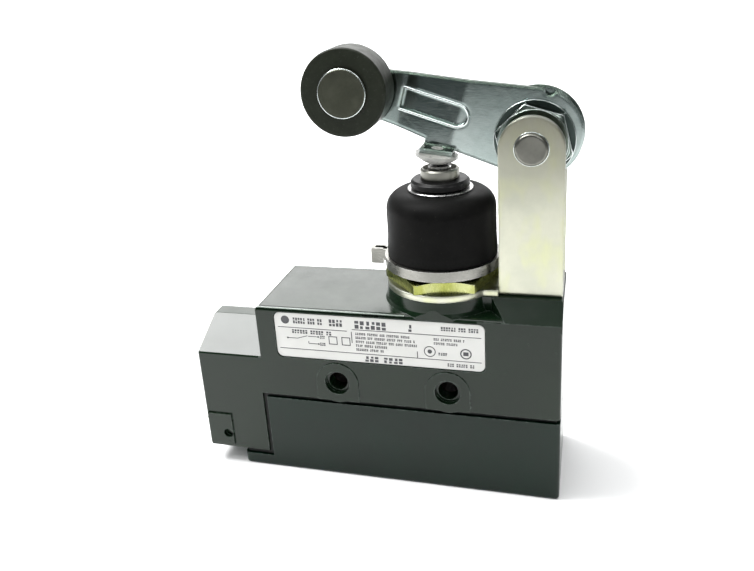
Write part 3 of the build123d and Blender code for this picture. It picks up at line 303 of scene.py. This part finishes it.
# painted shade: dark on faces that don't look along Y and on edges leaning up, and darker towards the top of the
# ears
BRACKET_ZINC = plated(
    "bracket_zinc_plate", (0.59, 0.59, 0.48, 1), (0.50, 0.51, 0.42, 1), (0.28, 0.42), (12, 12, 1),
    warm=(0.56, 0.58, 0.36, 1), scratch=0.4, edge_shade=(0.26, 0.27, 0.23, 1),
    fade=((0.30, 0.295, 0.24, 1), 66 * MM, 84 * MM), soft=0.7 * MM,
)
CHROMATE = plated("yellow_chromate", (0.37, 0.385, 0.11, 1), (0.25, 0.275, 0.07, 1), (0.22, 0.4), (8, 8, 1),
                  warm=(0.46, 0.48, 0.22, 1))
CLAMP_STEEL = plated("clamp_plate", (0.285, 0.28, 0.26, 1), (0.21, 0.21, 0.19, 1), (0.24, 0.4), (1, 1, 8))
SCREW_ZINC = plated("screw_zinc", (0.76, 0.78, 0.80, 1), (0.6, 0.62, 0.64, 1), (0.2, 0.34), (6, 6, 6))
PIN_STEEL = turned("turned_steel", (0.64, 0.64, 0.63, 1))
BUSHING_STEEL = turned("bushing_steel", (0.56, 0.57, 0.58, 1))
SPRING_STEEL = turned("spring_wire", (0.42, 0.43, 0.45, 1))
# painted shade: a dark steel for the lever washer, which lies in the ear's shade
WASHER_SHADE = turned("washer_shade_steel", (0.10, 0.13, 0.12, 1), (0.3, 0.45))
# painted highlight: a brighter copy of the zinc for thin beads along edges that catch the light
HIGHLIGHT_ZINC = plated("rib_rim_highlight", (0.80, 0.86, 0.85, 1), (0.70, 0.76, 0.75, 1), (0.16, 0.26), (1, 1, 1))
AXLE_STEEL = turned("axle_face", (0.10, 0.105, 0.08, 1), (0.30, 0.45))
DULL_STEEL = turned("dull_pin", (0.22, 0.22, 0.195, 1), (0.28, 0.42))
BRASS = turned("stamped_brass", (0.80, 0.62, 0.30, 1))
COPPER = turned("copper_strip", (0.82, 0.50, 0.33, 1))
BLACK_OXIDE = plastic("black_oxide", (0.005, 0.005, 0.005, 1), (0.3, 0.45), 0.03, 0.2, 0.14)
BOOT_RUBBER = rubber("boot_rubber", 0.004, (0.50, 0.62), 0.06)
SEAL_RUBBER = rubber("seal_rubber", 0.010, (0.55, 0.7))
ROLLER_BODY = plastic("roller_body", (0.009, 0.012, 0.006, 1), (0.42, 0.55), 0.05, 0.2, 0.24)
BUTTON = plastic("button_face", (0.32, 0.32, 0.30, 1), (0.2, 0.35), 0.05)
PHENOLIC = plastic("phenolic", (0.035, 0.018, 0.012, 1), (0.3, 0.45), 0.05)
PIN_PLASTIC = plastic("pin_plastic", (0.40, 0.03, 0.02, 1), (0.25, 0.4), 0.05)
LABEL_FACE = label_face("label_film")
INK = plastic("label_ink", (0.055, 0.055, 0.060, 1), (0.4, 0.55), 0.02)

SLOT_MATERIALS = {
    "housing_paint": PAINT,
    "cover_paint": COVER_PAINT,
    "gasket_rubber": SEAL_RUBBER,
    "label_print": LABEL_FACE,
    "screw_zinc": SCREW_ZINC,
    "switch_phenolic": PHENOLIC,
    "terminal_brass": BRASS,
    "bushing_steel": BUSHING_STEEL,
    "spring_steel": SPRING_STEEL,
    "bracket_zinc": BRACKET_ZINC,
    "yellow_chromate": CHROMATE,
    "boot_rubber": BOOT_RUBBER,
    "clamp_steel": CLAMP_STEEL,
    "pin_steel": PIN_STEEL,
    "lever_zinc": LEVER_ZINC,
    "button_nylon": BUTTON,
    "axle_steel": AXLE_STEEL,
    "roller_dark": ROLLER_BODY,
    "black_oxide": BLACK_OXIDE,
    "pin_plastic": PIN_PLASTIC,
    "blade_copper": COPPER,
}

# nodes whose look differs from the rest of their slot
NODE_MATERIALS = {
    "lever_washer": WASHER_SHADE,
    "lever_nut": DISC_ZINC,
    "pivot_pin": DULL_STEEL,
    "collar_nut": DULL_STEEL,
}

# pieces whose edges get a small real round, in millimetres
EDGE_ROUND = {
    "support_bracket": 0.4,
    "roller_axle": 0.45,
    "boot_nut": 0.2,
    "roller_arm": 0.4,
    "hub_plate": 0.2,
    "head_nut": 0.15,
    "lever_nut": 0.15,
    "collar_nut": 0.15,
    "boot_clamp": 0.1,
    "bottom_cover": 0.25,
    "housing": 0.2,
}


def dress_cad_nodes():
    """Gives every CAD node its procedural material, and the visible ones rounded edges."""
    for row in frame["record"]["subparts"]:
        piece = nodes[row["node"]]
        piece.data.materials.clear()
        piece.data.materials.append(NODE_MATERIALS.get(row["node"], SLOT_MATERIALS[row["material_slot"]]))
        radius = EDGE_ROUND.get(row["node"])
        if radius:
            bevel = piece.modifiers.new("edge_round", "BEVEL")
            bevel.width = radius * MM
            bevel.segments = 2
            bevel.limit_method = "ANGLE"
            bevel.angle_limit = math.radians(28)
            bevel.use_clamp_overlap = True
            bevel.harden_normals = True


dress_cad_nodes()


# ================================================================================= mesh tools
def add_piece(name, mesh, body, material):
    """Links a finished mesh as a piece that rides on a body."""
    piece = bpy.data.objects.new(name, mesh)
    scene.collection.objects.link(piece)
    mesh.materials.append(material)
    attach(piece, body)
    return piece


def finished_mesh(name, bm, smooth=True, sharp=None):
    """Turns a bmesh into a mesh; sharp is the angle, in degrees, past which smooth shading stops."""
    bmesh.ops.recalc_face_normals(bm, faces=bm.faces)
    mesh = bpy.data.meshes.new(name)
    bm.to_mesh(mesh)
    bm.free()
    if smooth:
        mesh.shade_smooth()
    if sharp is not None:
        mesh.set_sharp_from_angle(angle=math.radians(sharp))
    return mesh


def ring_strip(bm, near, far):
    """Faces between two rings of vertices."""
    count = len(near)
    for k in range(count):
        j = (k + 1) % count
        bm.faces.new((near[k], near[j], far[j], far[k]))


def wire_ring(bm, centre, radius, side, other, around):
    """Vertices round a wire's centre, in the plane of side and other."""
    turns = [2 * math.pi * k / around for k in range(around)]
    return [bm.verts.new(centre + radius * (math.cos(t) * side + math.sin(t) * other)) for t in turns]


def lathe_mesh(name, profile, steps):
    """Turns a closed loop of (radius, height) pairs about the plunger axis into a mesh."""
    bm = bmesh.new()
    rings = []
    for i in range(steps):
        turn = 2 * math.pi * i / steps
        rings.append([bm.verts.new((r * math.cos(turn), r * math.sin(turn), z)) for r, z in profile])
    count = len(profile)
    for i in range(steps):
        here, there = rings[i], rings[(i + 1) % steps]
        for j in range(count):
            k = (j + 1) % count
            bm.faces.new((here[j], there[j], there[k], here[k]))
    return finished_mesh(name, bm, sharp=35)


def tube_mesh(name, path, radius, around=10):
    """Round wire along a list of points, with closed ends."""
    bm = bmesh.new()
    rings = []
    for i, here in enumerate(path):
        along = (path[min(i + 1, len(path) - 1)] - path[max(i - 1, 0)]).normalized()
        side = along.orthogonal() if i == 0 else side - along * side.dot(along)
        side.normalize()
        other = along.cross(side)
        rings.append(wire_ring(bm, here, radius, side, other, around))
    for near, far in zip(rings, rings[1:]):
        ring_strip(bm, near, far)
    bm.faces.new(list(reversed(rings[0])))
    bm.faces.new(rings[-1])
    return finished_mesh(name, bm, sharp=40)


# ========================================================================================== boot
def arc(centre, radius, start, end, steps):
    """Points on an arc, angles in degrees."""
    turns = [math.radians(start + (end - start) * i / steps) for i in range(steps + 1)]
    return [(centre[0] + radius * math.cos(t), centre[1] + radius * math.sin(t)) for t in turns]


def make_boot():
    """Rubber boot in two pieces: a skirt held on the collar, and a dome over the plunger."""
    outer = (BOOT_HIGH.x - BOOT_LOW.x) / 2
    foot, top = BOOT_LOW.z, BOOT_HIGH.z
    wall, shoulder, waist = 1.2 * MM, 4.0 * MM, 0.15 * MM
    stem = 2.52 * MM
    rim = 0.35 * MM
    inner = outer - wall + 0.01 * MM
    skirt = arc((outer - rim, foot + rim), rim, -90, 0, 4)
    skirt += [(outer, COLLAR_TOP), (inner, COLLAR_TOP), (inner, foot)]
    mesh = lathe_mesh("boot_skirt", skirt, 128)
    made = add_piece("boot_skirt", mesh, "enclosure", BOOT_RUBBER)
    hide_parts("rubber_boot")
    side = outer - waist
    dome = [(outer, COLLAR_TOP), (outer - 0.05 * MM, COLLAR_TOP + 0.8 * MM), (side, COLLAR_TOP + 2.2 * MM)]
    dome += [(side, top - shoulder - 2 * MM)]
    dome += arc((side - shoulder, top - shoulder), shoulder, 0, 90, 14)
    dome += [(stem, top), (stem, top - wall), (side - shoulder, top - wall)]
    dome += arc((side - shoulder, top - shoulder), shoulder - wall, 90, 0, 8)[1:]
    dome += [(side - wall, COLLAR_TOP + 2.2 * MM), (inner, COLLAR_TOP)]
    mesh = lathe_mesh("boot_dome", dome, 128)
    made = add_piece("boot_dome", mesh, "enclosure", BOOT_RUBBER)
    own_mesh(made)


make_boot()


# ======================================================================================= springs
def helix(low, high, radius, turns, steps=36):
    """Points on a coil about the plunger axis whose end turns lie flat."""
    points = []
    for i in range(int(turns * steps) + 1):
        share = i / (turns * steps)
        rise = min(max((share * turns - 0.75) / (turns - 1.5), 0.0), 1.0)
        turn = 2 * math.pi * share * turns
        points.append(Vector((radius * math.cos(turn), radius * math.sin(turn), low + (high - low) * rise)))
    return points


def make_springs():
    """Both coil springs, each as a wire coiled between its seats."""
    rows = (
        ("return_spring", "enclosure", SPRING_LOW, SPRING_HIGH, 0.45 * MM, 6.5, TRAVEL),
        ("overtravel_spring", "actuator", INNER_LOW, INNER_HIGH, 0.35 * MM, 6.0, TRAVEL - ACTUATOR_TRAVEL),
    )
    for node, body, corner, far_corner, wire, turns, squeeze in rows:
        mean = (far_corner.x - corner.x) / 2 - wire
        path = helix(corner.z + wire, far_corner.z - wire, mean, turns)
        made = add_piece(node + "_wire", tube_mesh(node, path, wire), body, SPRING_STEEL)
        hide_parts(node)
        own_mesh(made)


make_springs()


# ===================================================================================== lever rib
BLADE_FRONT, END_FRONT = 1.8 * MM, 4.2 * MM      # depth of the plate's front before and past its joggle
JOG_NEAR, JOG_FAR = 16.5 * MM, 29.3 * MM         # where the joggle starts and ends, from the pivot


def on_blade(u, v, proud=0.0):
    """Point on the front of the lever plate, u along from the pivot and v across, standing proud of it."""
    share = min(max((u - JOG_NEAR) / (JOG_FAR - JOG_NEAR), 0.0), 1.0)
    y = BLADE_FRONT + share * (END_FRONT - BLADE_FRONT) - proud
    return Vector((PIVOT.x, 0, PIVOT.z)) + ALONG * u + ACROSS * v + Vector((0, y, 0))


def make_rib_rim():
    """The rolled rim round the pressed rib, open towards the roller."""
    near, far, middle, half = 16.8 * MM, 29.7 * MM, 0.4 * MM, 2.45 * MM
    path = [on_blade(far - (far - near) * i / 16, middle + half) for i in range(16)]
    for u, v in arc((near, middle), half, 90, 270, 18):
        path.append(on_blade(u, v))
    path += [on_blade(near + (far - near) * i / 16, middle - half) for i in range(1, 17)]
    # painted highlight: the rim bead is given the bright zinc
    add_piece("rib_rim_highlight", tube_mesh("rib_rim_highlight", path, 0.34 * MM), "lever", HIGHLIGHT_ZINC)


make_rib_rim()


def loop_mesh(name, points, wire):
    """Thin round bead along a closed outline."""
    bm = bmesh.new()
    count = len(points)
    back = Vector((0, 1, 0))
    rings = []
    for i, here in enumerate(points):
        along = (points[(i + 1) % count] - points[i - 1]).normalized()
        side = along.cross(back).normalized()
        rings.append(wire_ring(bm, here, wire, side, back, 8))
    for i in range(count):
        ring_strip(bm, rings[i], rings[(i + 1) % count])
    return finished_mesh(name, bm)


def circle(centre, y, radius, steps=72):
    """Points of a circle facing the front, at depth y."""
    turns = [2 * math.pi * i / steps for i in range(steps)]
    return [Vector((centre.x + radius * math.cos(t), y, centre.z + radius * math.sin(t))) for t in turns]


def hexagon(y, reach, start, parts):
    """Points of a hexagon about the pivot at depth y, turned start degrees from the lever's line."""
    corners = [math.radians(start + 60 * k) for k in range(7)]
    points = []
    for turn, after in zip(corners, corners[1:]):
        for part in range(parts):
            share = part / parts
            u = reach * (math.cos(turn) * (1 - share) + math.cos(after) * share)
            v = reach * (math.sin(turn) * (1 - share) + math.sin(after) * share)
            points.append(Vector((PIVOT.x, y, PIVOT.z)) + ALONG * u + ACROSS * v)
    return points


def make_bright_edges():
    """Painted highlights: bright beads along the edges of the lever nut, its washer and the axle's head, and round
    the pin's seat.
    """
    fronted = ("lever_nut", "lever_washer", "roller_axle", "pivot_pin")
    nut, washer, axle, pin = (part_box(node)[0].y for node in fronted)
    nut_outline = hexagon(nut + 0.1 * MM, 8.1 * MM, 0.5, 6)
    add_piece("nut_edge", loop_mesh("nut_edge", nut_outline, 0.13 * MM), "lever", HIGHLIGHT_ZINC)
    # name, body, centre, depth, radius of the ring, radius of the bead, slot
    rows = (
        ("nut_chamfer", "lever", PIVOT, nut + 0.02 * MM, 6.9 * MM, 0.10 * MM, "lever_zinc"),
        ("washer_edge", "lever", PIVOT, washer + 0.05 * MM, 8.3 * MM, 0.12 * MM, "lever_zinc"),
        ("axle_edge", "lever", AXLE, axle + 0.22 * MM, 5.12 * MM, 0.16 * MM, "lever_zinc"),
        ("pin_seat", "enclosure", PIVOT, pin + 0.88 * MM, 3.4 * MM, 0.13 * MM, "bracket_zinc"),
    )
    for name, body, centre, y, radius, wire, slot in rows:
        add_piece(name, loop_mesh(name, circle(centre, y, radius), wire), body, HIGHLIGHT_ZINC)


make_bright_edges()


def make_highlight_edges():
    """Painted highlights: light enamel beads along the block's top front edge and the hub's raised corner."""
    wire = 0.13 * MM
    inset = 0.3 * MM
    block_left, block_right, block_front, block_top = -41.3 * MM, -6.5 * MM, -12.62 * MM, 42.92 * MM
    hub_left, hub_right, hub_top = HOUSING_LOW.x, HOUSING_LOW.x + 6.1 * MM, 12.25 * MM
    rows = (
        ("block_edge", block_left + inset, block_right, block_front, block_top),
        ("corner_edge", hub_left + inset, hub_right, HOUSING_LOW.y + 0.14 * MM, hub_top),
    )
    for name, left, right, y, z in rows:
        path = [Vector((left + (right - left) * i / 12, y, z)) for i in range(13)]
        add_piece(name, tube_mesh(name, path, wire), "enclosure", HIGHLIGHT_ENAMEL)


make_highlight_edges()


# ================================================================================ conduit thread
def make_thread():
    """Ridges of the conduit thread, standing on the wall of the hub's bore."""
    pitch, depth, root = 1.8 * MM, 0.35 * MM, -0.04 * MM
    bore, height = CONDUIT["dims"]["r_mm"] * MM, CONDUIT["pos_m"][2]
    mouth, end = HOUSING_LOW.x + 2.6 * MM, -40.2 * MM
    steps = 72
    turns = (end - mouth) / pitch
    bm = bmesh.new()
    rows = []
    for i in range(int(turns * steps) + 1):
        turn = 2 * math.pi * i / steps
        x = mouth + pitch * i / steps
        fade = min(1.0, i / steps, (int(turns * steps) - i) / steps)
        row = []
        for shift, rise in ((-0.42, root), (0.0, depth * fade), (0.42, root)):
            r = bore - rise
            row.append(bm.verts.new((x + shift * pitch, r * math.cos(turn), height + r * math.sin(turn))))
        rows.append(row)
    for near, far in zip(rows, rows[1:]):
        ring_strip(bm, near, far)
    bm.faces.new(rows[0])
    bm.faces.new(list(reversed(rows[-1])))
    mesh = finished_mesh("conduit_thread", bm, smooth=False)
    add_piece("conduit_thread", mesh, "enclosure", PAINT)


make_thread()


# ========================================================================================= label
class Print:
    """Flat ink shapes on the nameplate, placed by shares of its width and height from the upper left."""

    def __init__(self):
        self.bm = bmesh.new()
        self.y = LABEL_LOW.y - 0.02 * MM

    def place(self, u, v):
        """Point on the nameplate's front face."""
        x = LABEL_LOW.x + u * (LABEL_HIGH.x - LABEL_LOW.x)
        z = LABEL_HIGH.z - v * (LABEL_HIGH.z - LABEL_LOW.z)
        return Vector((x, self.y, z))

    def shape(self, corners):
        """A thin prism whose front face has these corners."""
        front = [self.bm.verts.new(c) for c in corners]
        back = [self.bm.verts.new(c + Vector((0, 0.03 * MM, 0))) for c in corners]
        self.bm.faces.new(front)
        self.bm.faces.new(list(reversed(back)))
        for i in range(len(corners)):
            j = (i + 1) % len(corners)
            self.bm.faces.new((front[j], front[i], back[i], back[j]))

    def bar(self, left, top, right, bottom):
        corners = ((left, bottom), (right, bottom), (right, top), (left, top))
        self.shape([self.place(u, v) for u, v in corners])

    def stroke(self, start, end, width):
        """A straight stroke, width in metres."""
        p, q = self.place(*start), self.place(*end)
        along = (q - p).normalized()
        side = Vector((-along.z, 0, along.x)) * width / 2
        self.shape([p - side, q - side, q + side, p + side])

    def disc(self, u, v, radius):
        middle = self.place(u, v)
        turns = [2 * math.pi * i / 28 for i in range(28)]
        self.shape([middle + Vector((radius * math.cos(t), 0, radius * math.sin(t))) for t in turns])

    def outline(self, u, v, radius, corners, width):
        """An open mark: a polygon drawn as strokes, round when it has many corners."""
        middle = self.place(u, v)
        half = math.pi / corners
        for i in range(corners):
            spin = [2 * math.pi * (i + k) / corners + half for k in (0, 1)]
            inner = [middle + Vector((math.cos(t), 0, math.sin(t))) * (radius - width) for t in spin]
            outer = [middle + Vector((math.cos(t), 0, math.sin(t))) * radius for t in spin]
            self.shape([inner[0], inner[1], outer[1], outer[0]])

    def block(self, left, top, right, bottom, rng):
        """One printed mark: two stacked blocks of unlike width with a light slot between them."""
        slot = top + (bottom - top) * rng.choice((0.42, 0.5, 0.58))
        gap = (bottom - top) * 0.07
        third = (right - left) * 0.3
        upper, lower = rng.choice(((0, 0), (third, 0), (0, third), (0, 0)))
        self.bar(left + upper, top, right, slot - gap)
        self.bar(left, slot + gap, right - lower, bottom)

    def words(self, left, right, middle, height, letter, rng):
        """A greeked line: word-like runs of small blocks that spell nothing."""
        u = left
        while u < right:
            for _ in range(rng.randint(3, 7)):
                if u + letter * 0.75 > right:
                    break
                self.block(u, middle - height / 2, u + letter * 0.74, middle + height / 2, rng)
                u += letter
            u += letter * 0.9

    def finish(self, name, material):
        mesh = finished_mesh(name, self.bm, smooth=False)
        add_piece(name, mesh, "enclosure", material)


def print_label():
    """Generic rules, blocks and a changeover contact symbol in place of the maker's print."""
    rng = random.Random(7)
    ink = Print()
    ink.bar(0.015, 0.315, 0.36, 0.33)
    ink.bar(0.385, 0.27, 0.985, 0.285)
    ink.bar(0.015, 0.80, 0.985, 0.815)
    ink.bar(0.380, 0.33, 0.384, 0.58)
    ink.bar(0.690, 0.66, 0.694, 0.80)
    ink.disc(0.055, 0.155, 1.0 * MM)
    ink.words(0.095, 0.245, 0.16, 0.13, 0.0125, rng)
    ink.words(0.275, 0.365, 0.16, 0.15, 0.017, rng)
    ink.words(0.400, 0.595, 0.165, 0.17, 0.026, rng)
    ink.words(0.655, 0.680, 0.165, 0.15, 0.020, rng)
    ink.words(0.805, 0.975, 0.13, 0.085, 0.0115, rng)
    ink.words(0.085, 0.285, 0.405, 0.085, 0.0135, rng)
    for row, end in enumerate((0.660, 0.690, 0.695, 0.560, 0.540)):
        ink.words(0.400, end, 0.365 + row * 0.088, 0.052, 0.0085, rng)
    for row in range(2):
        ink.words(0.770, 0.910 - 0.02 * row, 0.365 + row * 0.09, 0.052, 0.0085, rng)
    ink.outline(0.288, 0.555, 1.45 * MM, 4, 0.28 * MM)
    ink.outline(0.352, 0.555, 1.45 * MM, 4, 0.28 * MM)
    ink.outline(0.750, 0.640, 1.30 * MM, 28, 0.20 * MM)
    ink.disc(0.750, 0.640, 0.50 * MM)
    ink.words(0.790, 0.840, 0.68, 0.06, 0.0105, rng)
    ink.outline(0.915, 0.640, 1.25 * MM, 28, 0.28 * MM)
    ink.bar(0.903, 0.60, 0.927, 0.68)
    ink.words(0.830, 0.960, 0.905, 0.07, 0.0105, rng)
    ink.words(0.440, 0.620, 0.915, 0.12, 0.0235, rng)
    wire = 0.16 * MM
    ink.stroke((0.060, 0.56), (0.110, 0.56), wire)
    ink.stroke((0.110, 0.56), (0.160, 0.49), wire)
    ink.stroke((0.165, 0.50), (0.215, 0.50), wire)
    ink.stroke((0.165, 0.66), (0.215, 0.66), wire)
    ink.stroke((0.165, 0.66), (0.165, 0.61), wire)
    for u, v in ((0.060, 0.56), (0.215, 0.50), (0.215, 0.66)):
        ink.disc(u, v, 0.22 * MM)
    ink.words(0.222, 0.255, 0.50, 0.07, 0.0095, rng)
    ink.words(0.222, 0.255, 0.66, 0.07, 0.0095, rng)
    ink.finish("label_ink", INK)


print_label()


# ======================================================================================== camera
CAMERA_PLACE = Vector((30.7, -158.0, 116.1)) * MM
CAMERA_YAW, CAMERA_PITCH, CAMERA_ROLL = (math.radians(v) for v in (17.29, 19.63, -4.12))
CAMERA_LENS = 36.84
CAMERA_SHIFT = (0.0202, -0.0706)


def aim_camera():
    """Camera at the viewing angle of the reference."""
    data = bpy.data.cameras.new("camera")
    camera = bpy.data.objects.new("camera", data)
    scene.collection.objects.link(camera)
    scene.camera = camera
    data.sensor_width = 36.0
    data.lens = CAMERA_LENS
    data.shift_x, data.shift_y = CAMERA_SHIFT
    data.clip_start, data.clip_end = 0.005, 20.0
    forward = Vector((
        -math.sin(CAMERA_YAW) * math.cos(CAMERA_PITCH),
        math.cos(CAMERA_YAW) * math.cos(CAMERA_PITCH),
        -math.sin(CAMERA_PITCH),
    ))
    level = Vector((math.cos(CAMERA_YAW), math.sin(CAMERA_YAW), 0))
    above = level.cross(forward)
    right = math.cos(CAMERA_ROLL) * level + math.sin(CAMERA_ROLL) * above
    up = right.cross(forward)
    turn = Matrix((right, up, -forward)).transposed()
    camera.matrix_world = Matrix.Translation(CAMERA_PLACE) @ turn.to_4x4()


aim_camera()


# ========================================================================================= stage
class Sky(Graph):
    """Node tree of the world, with directions in place of object coordinates."""

    def __init__(self, world):
        self.tree = world.node_tree
        self.shader = self.tree.nodes["Background"]
        self.place = self.tree.nodes.new("ShaderNodeTexCoord").outputs["Generated"]


FLOOR_FRONT, FLOOR_BACK, FLOOR_WIDE = -0.50, 8.0, 12.0      # the paper's extent


def panel(name, place, size, power, target=(-0.01, 0, 0.04)):
    """A soft rectangular light that faces the object."""
    data = bpy.data.lights.new(name, "AREA")
    data.shape = "RECTANGLE"
    data.size, data.size_y = size
    data.energy = power
    lamp = bpy.data.objects.new(name, data)
    scene.collection.objects.link(lamp)
    lamp.location = place
    lamp.rotation_euler = (Vector(target) - Vector(place)).to_track_quat("-Z", "Y").to_euler()


def light_stage():
    """White paper under and behind the object, four soft panels, and a world that is dark in front."""
    bpy.ops.mesh.primitive_plane_add(size=1.0, location=(0, 0, 0))
    floor = bpy.context.object
    floor.name = "floor"
    for vertex in floor.data.vertices:
        vertex.co.x *= FLOOR_WIDE
        vertex.co.y = FLOOR_FRONT if vertex.co.y < 0 else FLOOR_BACK
    g = Graph("floor_paper")
    split = g.tree.nodes.new("ShaderNodeSeparateXYZ")
    g.put(split.inputs[0], g.place)
    # painted light: the paper glows, more the farther back it lies; painted shade: its colour is darker in front
    far = g.band(split.outputs["Y"], 0.03, 0.45, 0.06, 0.75)
    paper = g.mix(g.band(split.outputs["Y"], -0.42, -0.09), grey(0.28), grey(0.90))
    g.set(Base_Color=paper, Roughness=0.9, Emission_Color=(0.97, 1.0, 1.0, 1), Emission_Strength=far)
    floor.data.materials.append(g.material)

    panel("overhead", (-0.34, 0.04, 0.60), (0.36, 0.36), 8.4)
    panel("front", (0.30, -0.45, 0.50), (0.25, 0.25), 0.8)
    panel("strip", (-0.12, -0.22, 0.62), (0.60, 0.10), 1.5)
    panel("rear", (-0.05, 0.80, 0.55), (1.3, 0.45), 7.4)

    world = bpy.data.worlds.new("world")
    scene.world = world
    world.use_nodes = True
    s = Sky(world)
    split = s.tree.nodes.new("ShaderNodeSeparateXYZ")
    s.put(split.inputs[0], s.place)
    behind = s.band(split.outputs["Y"], -0.25, 0.35)
    shade = s.mix(behind, (0.10, 0.115, 0.115, 1), (1.0, 1.0, 1.0, 1))
    above = s.band(split.outputs["Z"], 0.55, 0.95)
    shade = s.mix(above, shade, (0.75, 0.77, 0.78, 1))
    s.set(Color=shade, Strength=0.62)


light_stage()
